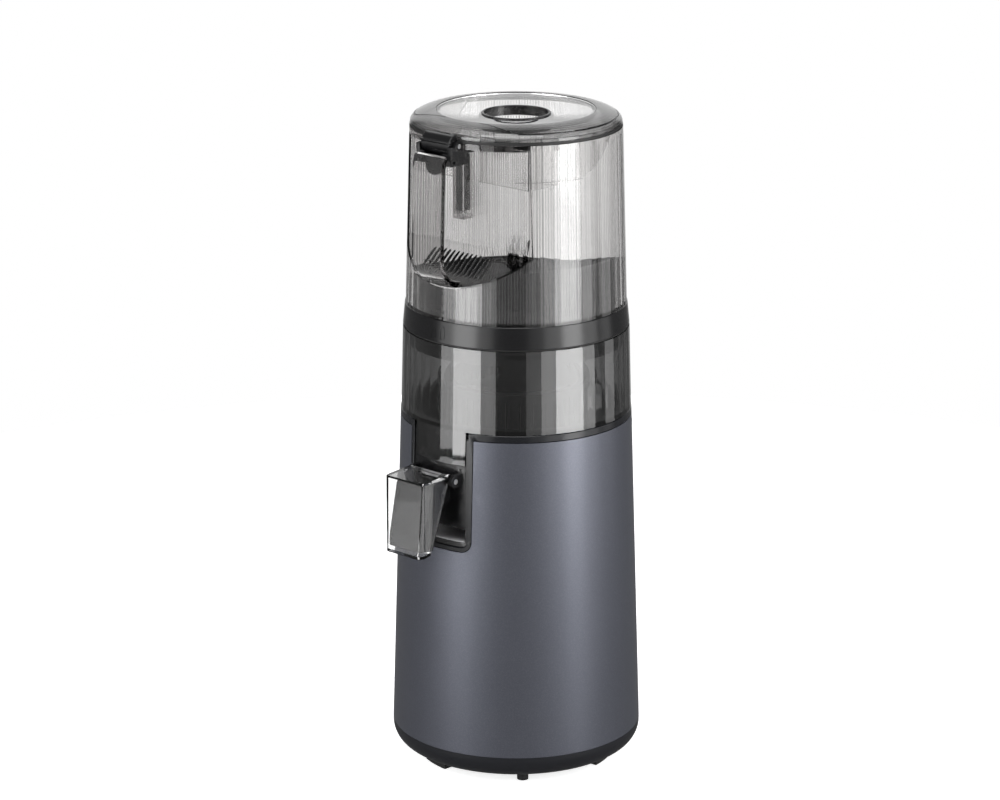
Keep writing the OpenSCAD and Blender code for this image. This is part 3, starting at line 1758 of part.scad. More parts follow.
feet();
bottom_cover();
base_screws();
body_shell();
cord_gland();
switch_frame();
switch_rocker();
top_trim();
deck();
recess_floor();
shaft_seal();
control_board();
motor_can();
motor_stator();
motor_bearings();
motor_rotor();
motor_shaft();
motor_pinion();
fan();
gear_plate();
gear_housing();
idler_pin();
double_gear();
output_gear();
output_shaft();
output_bearings();
bowl();
bowl_shaft_seal();
outlet_housing();
pulp_outlet();
pulp_flap();
strainer();
screw();
drive_insert();
lever_pin();
lever_cover();
lever_pull();
lever_stopper();
hopper_seal();
collar();
hopper();
funnel();
handle_bracket();
bracket_screws();
hinge_pin();
trigger_pin();
trigger();
interlock_rod();
rod_spring();
lid_cover();
lid_dish();
lid_port();
lid_skirt();
lid_hinge();
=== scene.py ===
"""Looks of an upright cold press juicer: finishes, moulded details and a small studio.

Everything is in metres in the row frame: +Z up, the front faces -Y, the feet stand on Z = 0.
"""

from __future__ import annotations

import json
import logging
import math
from dataclasses import dataclass, field
from enum import Enum
from typing import Callable, Iterable

import bmesh
import bpy
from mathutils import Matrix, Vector


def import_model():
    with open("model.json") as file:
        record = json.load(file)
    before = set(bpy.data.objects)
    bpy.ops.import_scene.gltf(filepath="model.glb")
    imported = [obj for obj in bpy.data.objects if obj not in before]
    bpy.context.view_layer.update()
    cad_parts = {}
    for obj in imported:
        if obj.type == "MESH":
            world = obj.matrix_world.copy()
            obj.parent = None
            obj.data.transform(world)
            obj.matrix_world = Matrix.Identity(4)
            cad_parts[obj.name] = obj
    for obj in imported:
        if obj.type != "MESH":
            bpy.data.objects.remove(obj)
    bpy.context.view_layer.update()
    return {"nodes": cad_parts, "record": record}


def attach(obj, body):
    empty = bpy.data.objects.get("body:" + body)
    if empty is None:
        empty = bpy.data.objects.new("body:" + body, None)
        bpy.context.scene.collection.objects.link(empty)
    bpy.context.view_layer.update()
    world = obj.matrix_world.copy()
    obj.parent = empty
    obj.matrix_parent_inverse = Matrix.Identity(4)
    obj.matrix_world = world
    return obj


LOG = logging.getLogger("juicer")
MM = 0.001
SEAM_REACH = 2e-6
SEAM_DIGITS = 7
SAME_POINT = 1e-7
NODE_SMOOTH = 28.0
FINE_SMOOTH = 50.0
BEVEL_ANGLE = 35.0

Colour = tuple[float, float, float]
Flat = tuple[float, float]
Placed = tuple[Vector, Vector]
Mesh = bmesh.types.BMesh
Socket = bpy.types.NodeSocket

FLOAT = "NodeSocketFloat"
COLOUR = "NodeSocketColor"


# Geometry helpers


def front_point(angle: float, radius: float, height: float) -> Vector:
    """Finds a point on a circle about the machine's axis.

    Args:
        angle: Angle from the front, in degrees, positive towards +X.
        radius: Distance from the axis, in millimetres.
        height: Height above the table, in millimetres.

    Returns:
        The point in metres.
    """
    a = math.radians(angle)
    return Vector((radius * math.sin(a), -radius * math.cos(a), height)) * MM


def new_mesh(name: str, build: Callable[[Mesh], None]) -> bpy.types.Object:
    """Makes a mesh object from a function that fills a bmesh.

    Args:
        name: Name of the piece.
        build: Function that adds vertices and faces.

    Returns:
        The linked object.
    """
    mesh = bpy.data.meshes.new(name)
    bm = bmesh.new()
    build(bm)
    bmesh.ops.recalc_face_normals(bm, faces=bm.faces)
    bm.to_mesh(mesh)
    bm.free()
    obj = bpy.data.objects.new(name, mesh)
    bpy.context.scene.collection.objects.link(obj)
    return obj


@dataclass(frozen=True)
class Surface:
    """A cone about the machine's axis on which flat drawings are laid."""

    low_z: float
    low_r: float
    high_z: float
    high_r: float

    def radius(self, z: float) -> float:
        """Returns the radius at a height, in millimetres."""
        share = (z - self.low_z) / (self.high_z - self.low_z)
        return self.low_r + (self.high_r - self.low_r) * share

    def place(self, across: float, z: float, turn: float) -> Placed:
        """Lays a point of a drawing on the cone.

        Args:
            across: Distance along the surface from the drawing's middle, in millimetres.
            z: Height in millimetres.
            turn: Angle of the drawing's middle from the front, in degrees.

        Returns:
            The point and the outward normal, in metres.
        """
        r = self.radius(z)
        angle = turn + math.degrees(across / r)
        point = front_point(angle, r, z)
        normal = front_point(angle, 1.0, 0.0).normalized()
        return point, normal


def add_stroke(bm: Mesh, path: list[Placed], width: float, rise: float, sink: float,
               closed: bool = False) -> None:
    """Adds a flat raised line that follows a surface.

    Args:
        bm: Mesh to add to.
        path: Points with their surface normals, in metres.
        width: Width of the line in millimetres.
        rise: Height over the surface in millimetres.
        sink: Depth below the surface in millimetres.
        closed: Whether the line ends where it starts.
    """
    count = len(path)
    rings = []
    for i, (point, normal) in enumerate(path):
        before = path[(i - 1) % count][0] if closed or i > 0 else point
        after = path[(i + 1) % count][0] if closed or i < count - 1 else point
        side = (after - before).cross(normal).normalized() * (width / 2 * MM)
        top = normal * (rise * MM)
        low = normal * (sink * MM)
        rings.append([point + side - low, point - side - low, point - side + top, point + side + top])
    if closed:
        rings.append(rings[0])
    add_loft(bm, rings, caps=not closed)
    if closed:
        bmesh.ops.remove_doubles(bm, verts=bm.verts, dist=SAME_POINT)


def arc(cx: float, cz: float, radius: float, start: float, end: float, steps: int = 12) -> list[Flat]:
    """Lists points on an arc of a flat drawing.

    Args:
        cx: Middle across, in millimetres.
        cz: Middle height, in millimetres.
        radius: Radius in millimetres.
        start: First angle in degrees, from the right and anticlockwise.
        end: Last angle in degrees.
        steps: Number of steps.

    Returns:
        The points.
    """
    angles = [math.radians(start + (end - start) * i / steps) for i in range(steps + 1)]
    return [(cx + radius * math.cos(a), cz + radius * math.sin(a)) for a in angles]


def add_loft(bm: Mesh, rings: list[list[Vector]], caps: bool = True) -> None:
    """Skins a row of equal closed rings with quads.

    Args:
        bm: Mesh to add to.
        rings: Rings of points, each with the same count.
        caps: Whether the first and last ring are filled.
    """
    rows = [[bm.verts.new(p) for p in ring] for ring in rings]
    count = len(rows[0])
    for low, high in zip(rows, rows[1:]):
        for i in range(count):
            j = (i + 1) % count
            bm.faces.new((low[i], low[j], high[j], high[i]))
    if caps:
        bm.faces.new(list(reversed(rows[0])))
        bm.faces.new(rows[-1])


def smooth_by_angle(obj: bpy.types.Object, degrees: float) -> None:
    """Shades faces smooth and keeps edges sharper than the limit.

    Args:
        obj: Mesh object.
        degrees: Angle above which an edge stays sharp.
    """
    mesh = obj.data
    mesh.polygons.foreach_set("use_smooth", [True] * len(mesh.polygons))
    mesh.set_sharp_from_angle(angle=math.radians(degrees))


def corner_key(vert: bmesh.types.BMVert | bpy.types.MeshVertex) -> tuple[float, ...]:
    """Returns a corner's rounded place, the same for every copy of it."""
    return tuple(round(c, SEAM_DIGITS) for c in vert.co)


def join_seams(obj: bpy.types.Object, degrees: float) -> None:
    """Joins the doubled corners along a node's seams, so that shading and rounding run across them.

    Args:
        obj: Mesh object.
        degrees: Angle above which a seam stays sharp.
    """
    mesh = obj.data
    joined = bmesh.new()
    joined.from_mesh(mesh)
    bmesh.ops.remove_doubles(joined, verts=joined.verts, dist=SEAM_REACH)
    limit = math.radians(degrees)
    sharp = {frozenset(map(corner_key, edge.verts)) for edge in joined.edges
             if len(edge.link_faces) != 2 or edge.calc_face_angle() > limit}
    joined.free()
    corners = [corner_key(vert) for vert in mesh.vertices]
    for edge in mesh.edges:
        edge.use_edge_sharp = frozenset(corners[i] for i in edge.vertices) in sharp
    weld = obj.modifiers.new("joined_seams", "WELD")
    weld.merge_threshold = SEAM_REACH


def bevel(obj: bpy.types.Object, width: float) -> None:
    """Rounds the sharp edges of a piece with a modifier.

    Args:
        obj: Mesh object.
        width: Bevel width in millimetres.
    """
    modifier = obj.modifiers.new("edge_round", "BEVEL")
    modifier.width = width * MM
    modifier.segments = 2
    modifier.limit_method = "ANGLE"
    modifier.angle_limit = math.radians(BEVEL_ANGLE)
    modifier.miter_outer = "MITER_ARC"


# Shader node groups


@dataclass
class NodeBench:
    """A node tree with short calls to add and join nodes."""

    tree: bpy.types.NodeTree

    def add(self, kind: str, **values: object) -> bpy.types.Node:
        """Adds a node and sets its properties.

        Args:
            kind: Type name of the node.
            **values: Properties of the node.

        Returns:
            The new node.
        """
        node = self.tree.nodes.new(kind)
        for key, value in values.items():
            setattr(node, key, value)
        return node

    def join(self, source: Socket, target: Socket) -> None:
        """Links two sockets."""
        self.tree.links.new(source, target)

    def feed(self, value: object, target: Socket) -> None:
        """Links a socket, or sets a plain value.

        Args:
            value: Socket or plain value.
            target: Input socket.
        """
        if isinstance(value, Socket):
            self.join(value, target)
        else:
            target.default_value = value

    def maths(self, operation: str, *inputs: object, clamp: bool = False) -> Socket:
        """Adds a Math node.

        Args:
            operation: Name of the operation.
            *inputs: Sockets or numbers.
            clamp: Whether the result is held between 0 and 1.

        Returns:
            The output socket.
        """
        node = self.add("ShaderNodeMath", operation=operation, use_clamp=clamp)
        for value, socket in zip(inputs, node.inputs):
            self.feed(value, socket)
        return node.outputs[0]

    def noise(self, vector: object, scale: object, detail: float, roughness: float) -> Socket:
        """Adds a noise texture.

        Args:
            vector: Socket with coordinates.
            scale: Scale of the noise.
            detail: Octaves.
            roughness: Weight of the finer octaves.

        Returns:
            The value socket.
        """
        node = self.add("ShaderNodeTexNoise")
        self.feed(vector, node.inputs["Vector"])
        self.feed(scale, node.inputs["Scale"])
        node.inputs["Detail"].default_value = detail
        node.inputs["Roughness"].default_value = roughness
        return node.outputs["Fac"]

    def spread(self, value: object, low: object, high: object) -> Socket:
        """Maps 0..1 to low..high with a clamp.

        Args:
            value: Input value.
            low: Result at 0.
            high: Result at 1.

        Returns:
            The output socket.
        """
        node = self.add("ShaderNodeMapRange")
        for item, socket in zip((value, 0.0, 1.0, low, high), node.inputs):
            self.feed(item, socket)
        return node.outputs[0]

    def blend(self, factor: object, first: object, second: object) -> Socket:
        """Mixes two colours.

        Args:
            factor: Share of the second colour.
            first: First colour or socket.
            second: Second colour or socket.

        Returns:
            The colour socket.
        """
        node = self.add("ShaderNodeMix", data_type="RGBA")
        self.feed(factor, node.inputs[0])
        self.feed(first, node.inputs[6])
        self.feed(second, node.inputs[7])
        return node.outputs[2]


def new_group(name: str, inputs: Iterable[tuple[str, str, object]],
              outputs: Iterable[tuple[str, str]]) -> tuple[NodeBench, bpy.types.Node, bpy.types.Node]:
    """Starts a shader node group.

    Args:
        name: Name of the group.
        inputs: Name, socket type and default of each input.
        outputs: Name and socket type of each output.

    Returns:
        The bench, the group's input node and its output node.
    """
    tree = bpy.data.node_groups.new(name, "ShaderNodeTree")
    for label, kind, default in inputs:
        socket = tree.interface.new_socket(name=label, in_out="INPUT", socket_type=kind)
        socket.default_value = default
    for label, kind in outputs:
        tree.interface.new_socket(name=label, in_out="OUTPUT", socket_type=kind)
    bench = NodeBench(tree)
    return bench, bench.add("NodeGroupInput"), bench.add("NodeGroupOutput")


class Effect(Enum):
    """The shader effects that finishes can share."""

    MOULDED_SKIN = "moulded_skin"
    METAL_FLAKES = "metal_flakes"
    # Painted shade: dark rib lines in the colour, standing in for the light that the ribs bend.
    PAINTED_RIB_SHADE = "clear_ribs"
    BRUSHED_LINES = "brushed_lines"


@dataclass
class ShaderGroups:
    """The effects that several finishes share, each made once."""

    made: dict[Effect, bpy.types.NodeTree] = field(default_factory=dict)

    def get(self, effect: Effect) -> bpy.types.NodeTree:
        """Returns the group of an effect, and builds it at its first use.

        Args:
            effect: The effect.

        Returns:
            The node tree.
        """
        makers = {
            Effect.MOULDED_SKIN: self.moulded_skin,
            Effect.METAL_FLAKES: self.metal_flakes,
            Effect.PAINTED_RIB_SHADE: self.clear_ribs,
            Effect.BRUSHED_LINES: self.brushed_lines,
        }
        if effect not in self.made:
            self.made[effect] = makers[effect]()
        return self.made[effect]

    def moulded_skin(self) -> bpy.types.NodeTree:
        """Builds the fine grain and slight sheen changes of a moulded or painted skin."""
        bench, given, result = new_group(
            Effect.MOULDED_SKIN.value,
            [("Colour", COLOUR, (0.5, 0.5, 0.5, 1)), ("Roughness", FLOAT, 0.4), ("Spread", FLOAT, 0.05),
             ("Grain Scale", FLOAT, 1500.0), ("Tone Shift", FLOAT, 0.05)],
            [("Colour", COLOUR), ("Roughness", FLOAT), ("Height", FLOAT)],
        )
        where = bench.add("ShaderNodeTexCoord").outputs["Object"]
        grain = bench.noise(where, given.outputs["Grain Scale"], 3.0, 0.6)
        broad_scale = 22.0
        broad = bench.noise(where, broad_scale, 2.0, 0.5)
        half = bench.maths("SUBTRACT", broad, 0.5)
        swing = bench.maths("MULTIPLY", half, given.outputs["Spread"])
        rough = bench.maths("ADD", given.outputs["Roughness"], swing, clamp=True)
        tone = bench.maths("MULTIPLY", given.outputs["Tone Shift"], broad)
        darker = bench.blend(tone, given.outputs["Colour"], (0.0, 0.0, 0.0, 1.0))
        bench.join(darker, result.inputs["Colour"])
        bench.join(rough, result.inputs["Roughness"])
        bench.join(grain, result.inputs["Height"])
        return bench.tree

    def metal_flakes(self) -> bpy.types.NodeTree:
        """Builds the fine sparkle of metallic paint, as a mask of small cells."""
        bench, given, result = new_group(
            Effect.METAL_FLAKES.value,
            [("Scale", FLOAT, 2600.0), ("Share", FLOAT, 0.3)],
            [("Mask", FLOAT)],
        )
        where = bench.add("ShaderNodeTexCoord").outputs["Object"]
        cells = bench.add("ShaderNodeTexVoronoi")
        bench.join(where, cells.inputs["Vector"])
        bench.join(given.outputs["Scale"], cells.inputs["Scale"])
        split = bench.add("ShaderNodeSeparateColor")
        bench.join(cells.outputs["Color"], split.inputs[0])
        mask = bench.maths("LESS_THAN", split.outputs[0], given.outputs["Share"])
        bench.join(mask, result.inputs["Mask"])
        return bench.tree

    def clear_ribs(self) -> bpy.types.NodeTree:
        """Builds painted shade: fine upright dark lines of uneven strength in the colour, standing in for the
        light that the ribs of a clear wall bend.
        """
        bench, given, result = new_group(
            Effect.PAINTED_RIB_SHADE.value,
            [("Tint", COLOUR, (0.9, 0.9, 0.9, 1)), ("Painted Rib Shade", COLOUR, (0.5, 0.5, 0.5, 1)),
             ("Count", FLOAT, 230.0), ("Amount", FLOAT, 0.5)],
            [("Colour", COLOUR)],
        )
        where = bench.add("ShaderNodeTexCoord").outputs["Object"]
        split = bench.add("ShaderNodeSeparateXYZ")
        bench.join(where, split.inputs[0])
        angle = bench.maths("ARCTAN2", split.outputs[0], split.outputs[1])
        turns = bench.maths("MULTIPLY", angle, given.outputs["Count"])
        wave = bench.maths("SINE", turns)
        lift = bench.maths("MULTIPLY_ADD", wave, 0.5, 0.5)
        around = bench.add("ShaderNodeCombineXYZ")
        bench.join(turns, around.inputs[0])
        drift, weakest, strongest, thinness = 0.14, -0.6, 1.6, 2.5
        chance = bench.noise(around.outputs[0], drift, 2.0, 0.6)
        strong = bench.spread(chance, weakest, strongest)
        line = bench.maths("POWER", lift, thinness)
        mixed = bench.maths("MULTIPLY", line, strong)
        share = bench.maths("MULTIPLY", mixed, given.outputs["Amount"], clamp=True)
        colour = bench.blend(share, given.outputs["Tint"], given.outputs["Painted Rib Shade"])
        bench.join(colour, result.inputs["Colour"])
        return bench.tree

    def brushed_lines(self) -> bpy.types.NodeTree:
        """Builds the fine turned lines of machined metal."""
        bench, given, result = new_group(
            Effect.BRUSHED_LINES.value,
            [("Roughness", FLOAT, 0.3), ("Spread", FLOAT, 0.15), ("Stretch", FLOAT, 40.0)],
            [("Roughness", FLOAT), ("Height", FLOAT)],
        )
        where = bench.add("ShaderNodeTexCoord").outputs["Object"]
        base = 30.0
        scale = bench.add("ShaderNodeCombineXYZ")
        scale.inputs[0].default_value = base
        scale.inputs[1].default_value = base
        height = bench.maths("MULTIPLY", given.outputs["Stretch"], base)
        bench.join(height, scale.inputs[2])
        stretched = bench.add("ShaderNodeVectorMath", operation="MULTIPLY")
        bench.join(where, stretched.inputs[0])
        bench.join(scale.outputs[0], stretched.inputs[1])
        lines = bench.noise(stretched.outputs[0], 1.0, 3.0, 0.6)
        half = bench.maths("SUBTRACT", lines, 0.5)
        swing = bench.maths("MULTIPLY", half, given.outputs["Spread"])
        rough = bench.maths("ADD", given.outputs["Roughness"], swing, clamp=True)
        bench.join(rough, result.inputs["Roughness"])
        bench.join(lines, result.inputs["Height"])
        return bench.tree


# Finishes


def start_material(name: str) -> tuple[bpy.types.Material, NodeBench, bpy.types.Node]:
    """Makes an empty node material with one Principled shader.

    Args:
        name: Name of the material.

    Returns:
        The material, its bench and its shader.
    """
    material = bpy.data.materials.new(name)
    material.use_nodes = True
    bench = NodeBench(material.node_tree)
    return material, bench, material.node_tree.nodes["Principled BSDF"]


def add_relief(bench: NodeBench, shader: bpy.types.Node, height: Socket, strength: float,
               distance: float) -> None:
    """Gives a shader a bump.

    Args:
        bench: The material's bench.
        shader: The shader.
        height: Socket with the height.
        strength: Strength of the bump.
        distance: Depth of the bump, in metres.
    """
    relief = bench.add("ShaderNodeBump")
    relief.inputs["Strength"].default_value = strength
    relief.inputs["Distance"].default_value = distance
    bench.join(height, relief.inputs["Height"])
    bench.join(relief.outputs[0], shader.inputs["Normal"])


def set_inputs(node: bpy.types.Node, values: dict[str, object]) -> None:
    """Sets the plain values of a node's named inputs."""
    for label, value in values.items():
        node.inputs[label].default_value = value


@dataclass(frozen=True)
class Moulded:
    """Moulded plastic, rubber or paint with a fine grain."""

    colour: Colour
    roughness: float = 0.4
    spread: float = 0.06
    grain: float = 1500.0
    depth: float = 0.02
    metallic: float = 0.0
    coat: float = 0.0
    coat_roughness: float = 0.08
    flakes: float = 0.0
    tone: float = 0.08

    def build(self, name: str, groups: ShaderGroups) -> bpy.types.Material:
        """Makes the material.

        Args:
            name: Name of the material.
            groups: Shared node groups.

        Returns:
            The material.
        """
        material, bench, shader = start_material(name)
        skin = bench.add("ShaderNodeGroup", node_tree=groups.get(Effect.MOULDED_SKIN))
        set_inputs(skin, {"Colour": (*self.colour, 1.0), "Roughness": self.roughness, "Spread": self.spread,
                          "Grain Scale": self.grain, "Tone Shift": self.tone})
        colour = skin.outputs["Colour"]
        if self.flakes > 0:
            paint = bench.add("ShaderNodeGroup", node_tree=groups.get(Effect.METAL_FLAKES))
            gain, lift = 1.9, 0.03
            lit = tuple(min(1.0, c * gain + lift) for c in self.colour)
            share = bench.maths("MULTIPLY", paint.outputs["Mask"], self.flakes)
            colour = bench.blend(share, colour, (*lit, 1.0))
        bench.join(colour, shader.inputs["Base Color"])
        bench.join(skin.outputs["Roughness"], shader.inputs["Roughness"])
        add_relief(bench, shader, skin.outputs["Height"], self.depth, 0.2 * MM)
        set_inputs(shader, {"Metallic": self.metallic, "Coat Weight": self.coat,
                            "Coat Roughness": self.coat_roughness})
        return material


@dataclass(frozen=True)
class Machined:
    """Turned or ground metal."""

    colour: Colour
    roughness: float = 0.3
    spread: float = 0.15
    stretch: float = 40.0
    depth: float = 0.05

    def build(self, name: str, groups: ShaderGroups) -> bpy.types.Material:
        """Makes the material.

        Args:
            name: Name of the material.
            groups: Shared node groups.

        Returns:
            The material.
        """
        material, bench, shader = start_material(name)
        lines = bench.add("ShaderNodeGroup", node_tree=groups.get(Effect.BRUSHED_LINES))
        set_inputs(lines, {"Roughness": self.roughness, "Spread": self.spread, "Stretch": self.stretch})
        bench.join(lines.outputs["Roughness"], shader.inputs["Roughness"])
        add_relief(bench, shader, lines.outputs["Height"], self.depth, 0.1 * MM)
        set_inputs(shader, {"Base Color": (*self.colour, 1.0), "Metallic": 1.0})
        return material


@dataclass(frozen=True)
class Clear:
    """Clear or smoke-tinted plastic that is looked through."""

    tint: Colour
    absorb: float = 0.0
    shade: Colour = (0.0, 0.0, 0.0)
    # Colour of the painted shade lines that stand in for the light the ribs bend.
    rib_shade_colour: Colour = (0.5, 0.5, 0.5)
    count: float = 230.0
    amount: float = 0.0
    roughness: float = 0.02
    ior: float = 1.55

    def build(self, name: str, groups: ShaderGroups) -> bpy.types.Material:
        """Makes the material.

        Args:
            name: Name of the material.
            groups: Shared node groups.

        Returns:
            The material.
        """
        material, bench, shader = start_material(name)
        shader.inputs["Base Color"].default_value = (*self.tint, 1.0)
        # Painted shade: dark rib lines are mixed into the base colour when amount is over 0.
        if self.amount > 0:
            ribs = bench.add("ShaderNodeGroup", node_tree=groups.get(Effect.PAINTED_RIB_SHADE))
            set_inputs(ribs, {"Tint": (*self.tint, 1.0), "Painted Rib Shade": (*self.rib_shade_colour, 1.0), "Count": self.count,
                              "Amount": self.amount})
            bench.join(ribs.outputs["Colour"], shader.inputs["Base Color"])
        if self.absorb > 0:
            volume = bench.add("ShaderNodeVolumeAbsorption")
            set_inputs(volume, {"Color": (*self.shade, 1.0), "Density": self.absorb})
            bench.join(volume.outputs[0], material.node_tree.nodes["Material Output"].inputs["Volume"])
        set_inputs(shader, {"Roughness": self.roughness, "IOR": self.ior, "Transmission Weight": 1.0})
        return material


Finish = Moulded | Machined | Clear

FINISHES: dict[str, Finish] = {
    "foot_rubber": Moulded((0.012, 0.012, 0.012), roughness=0.7, grain=2500.0, depth=0.1),
    "cover_plastic": Moulded((0.009, 0.0095, 0.012), roughness=0.34, depth=0.04),
    "screw_steel": Machined((0.55, 0.55, 0.56), roughness=0.32),
    "body_metallic": Moulded((0.118, 0.124, 0.150), roughness=0.36, metallic=0.75, coat=0.3,
                             coat_roughness=0.22, flakes=0.12, grain=3200.0, tone=0.03),
    "black_plastic": Moulded((0.006, 0.006, 0.0065), roughness=0.22, depth=0.015),
    "trim_plastic": Moulded((0.007, 0.0075, 0.009), roughness=0.2, depth=0.02),
    "pad_grey": Moulded((0.42, 0.42, 0.43), roughness=0.45, depth=0.03),
    "dark_rubber": Moulded((0.01, 0.01, 0.01), roughness=0.55, depth=0.05),
    "board_green": Moulded((0.02, 0.11, 0.04), roughness=0.4),
    "motor_steel": Machined((0.5, 0.5, 0.51), roughness=0.4),
    "stator_iron": Machined((0.22, 0.2, 0.19), roughness=0.5),
    "bearing_steel": Machined((0.6, 0.6, 0.6), roughness=0.2),
    "shaft_steel": Machined((0.62, 0.62, 0.63), roughness=0.25),
    "gearbox_alloy": Machined((0.5, 0.51, 0.52), roughness=0.48, spread=0.2),
    "gear_nylon": Moulded((0.66, 0.62, 0.5), roughness=0.45),
    # This smoke finish carries painted shade: dark rib lines in its colour.
    "smoke_clear": Clear((0.985, 0.98, 0.975), absorb=70.0, shade=(0.02, 0.0, 0.0),
                         rib_shade_colour=(0.14, 0.14, 0.14), amount=0.9),
    "bowl_smoke": Clear((0.88, 0.88, 0.88), absorb=420.0, ior=1.8),
    "seal_silicone": Moulded((0.5, 0.5, 0.48), roughness=0.5),
    "strainer_plastic": Moulded((0.008, 0.008, 0.009), roughness=0.3),
    "screw_plastic": Moulded((0.006, 0.006, 0.007), roughness=0.25),
    "lever_clear": Clear((0.97, 0.97, 0.97), absorb=12.0),
    "pull_grey": Moulded((0.006, 0.006, 0.0065), roughness=0.24, depth=0.02),
    "collar_plastic": Moulded((0.006, 0.006, 0.0065), roughness=0.21, depth=0.02),
    "lid_smoke": Clear((0.9, 0.9, 0.9), absorb=340.0),
    "dish_clear": Clear((0.97, 0.97, 0.97), absorb=25.0),
}


@dataclass
class PaintShop:
    """Makes each finish once and puts it on CAD nodes and new pieces."""

    record: dict
    nodes: dict[str, bpy.types.Object]
    groups: ShaderGroups = field(default_factory=ShaderGroups)
    made: dict[str, bpy.types.Material] = field(default_factory=dict)

    def material(self, slot: str) -> bpy.types.Material:
        """Returns the finish of a slot."""
        if slot not in self.made:
            self.made[slot] = FINISHES[slot].build(slot, self.groups)
        return self.made[slot]

    def slot_of(self, node: str) -> str:
        """Returns the record's material slot of a CAD node."""
        return next(s["material_slot"] for s in self.record["subparts"] if s["node"] == node)

    def coat(self, obj: bpy.types.Object, slot: str) -> None:
        """Gives an object the finish of a slot alone."""
        obj.data.materials.clear()
        obj.data.materials.append(self.material(slot))

    def dress(self, node: str, edge: float) -> None:
        """Gives a CAD node its finish, smooth shading and slightly rounded edges.

        Args:
            node: Name of the CAD node.
            edge: Width of the rounded edges in millimetres, or 0 for none.
        """
        obj, slot = self.nodes[node], self.slot_of(node)
        self.coat(obj, slot)
        smooth_by_angle(obj, NODE_SMOOTH)
        if not isinstance(FINISHES[slot], Clear):
            join_seams(obj, NODE_SMOOTH)
        if edge > 0:
            bevel(obj, edge)
        LOG.info("dressed %s", node)

    def dress_all(self, edges: dict[str, float]) -> None:
        """Dresses CAD nodes in turn, each with its own edge width in millimetres."""
        for node, edge in edges.items():
            self.dress(node, edge)

    def finish_piece(self, obj: bpy.types.Object, slot: str, body: str) -> bpy.types.Object:
        """Gives a new piece its finish and the body it rides on.

        Args:
            obj: The new piece.
            slot: Material slot of the record.
            body: Name of the CAD body.

        Returns:
            The same piece.
        """
        self.coat(obj, slot)
        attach(obj, body)
        LOG.info("built %s", obj.name)
        return obj


# Sub-assemblies


@dataclass
class MotorBase:
    """Feet, covers, shell, trim and deck of the base."""

    shop: PaintShop
    edges: dict[str, float] = field(default_factory=lambda: {
        "feet": 0.8, "bottom_cover": 0.3, "body_shell": 0.35, "top_trim": 0.5, "deck": 0.2,
        "recess_floor": 0.0, "cord_gland": 0.4, "switch_frame": 0.4, "switch_rocker": 0.4,
        "base_screws": 0.2, "shaft_seal": 0.0, "control_board": 0.0,
    })

    def build(self) -> None:
        """Dresses the base's CAD nodes."""
        self.shop.dress_all(self.edges)


@dataclass
class Drive:
    """Motor, gears and output shaft inside the base."""

    shop: PaintShop
    nodes: tuple[str, ...] = (
        "motor_can", "motor_stator", "motor_bearings", "motor_rotor", "motor_shaft", "motor_pinion", "fan",
        "gear_plate", "gear_housing", "idler_pin", "double_gear", "output_gear", "output_shaft",
        "output_bearings",
    )

    def build(self) -> None:
        """Dresses the drive's CAD nodes."""
        self.shop.dress_all(dict.fromkeys(self.nodes, 0.0))


@dataclass
class JuicingBowl:
    """Smoke-coloured bowl, outlet housing, pulp outlet, strainer and screw."""

    shop: PaintShop
    edges: dict[str, float] = field(default_factory=lambda: {
        "bowl": 0.0, "bowl_shaft_seal": 0.0, "outlet_housing": 0.4, "pulp_outlet": 0.5, "pulp_flap": 0.2,
        "strainer": 0.0, "screw": 0.0, "drive_insert": 0.0, "lever_pin": 0.0,
    })

    def build(self) -> None:
        """Dresses the bowl's CAD nodes."""
        self.shop.dress_all(self.edges)


@dataclass
class JuiceLever:
    """Clear cover, dark pull and stopper of the juice outlet."""

    shop: PaintShop
    face_top: Flat = (103.7, 218.5)
    face_foot: Flat = (112.9, 175.5)
    drop_z: float = 194.0
    drop_r: float = 3.4
    drop_h: float = 13.5
    line_w: float = 0.5
    line_rise: float = 0.08
    line_sink: float = 0.2

    def face_point(self, x: float, z: float) -> Placed:
        """Lays a point on the sloping front of the pull.

        Args:
            x: Distance across, in millimetres.
            z: Height in millimetres.

        Returns:
            The point and the outward normal, in metres.
        """
        (w1, z1), (w0, z0) = self.face_top, self.face_foot
        w = w0 + (w1 - w0) * (z - z0) / (z1 - z0)
        normal = Vector((0.0, -(z1 - z0), w0 - w1)).normalized()
        return Vector((x, -w, z)) * MM, normal

    def build_drop(self) -> None:
        """Draws the outline of a drop on the pull."""
        centre = self.drop_z - self.drop_h / 2 + self.drop_r
        tip = (0.0, self.drop_z + self.drop_h / 2)
        first, last = -215.0, 35.0
        round_part = arc(0.0, centre, self.drop_r, first, last, 24)
        start, end = round_part[0], round_part[-1]
        count, swell = 8, 0.8
        steps = [k / count for k in range(1, count)]
        left = [(tip[0] + (start[0] - tip[0]) * t ** swell, tip[1] + (start[1] - tip[1]) * t) for t in steps]
        right = [(end[0] * (1 - t) ** swell, end[1] + (tip[1] - end[1]) * t) for t in steps]
        outline = [tip, *left, *round_part, *right]

        def lines(bm: Mesh) -> None:
            """Adds the closed outline."""
            path = [self.face_point(x, z) for x, z in outline]
            add_stroke(bm, path, self.line_w, self.line_rise, self.line_sink, closed=True)

        mark = new_mesh("drop_mark", lines)
        self.shop.finish_piece(mark, "black_plastic", "lever")

    def build(self) -> None:
        """Dresses the lever's CAD nodes and draws its mark."""
        self.shop.dress_all({"lever_cover": 0.9, "lever_pull": 0.8, "lever_stopper": 0.3})
        self.build_drop()


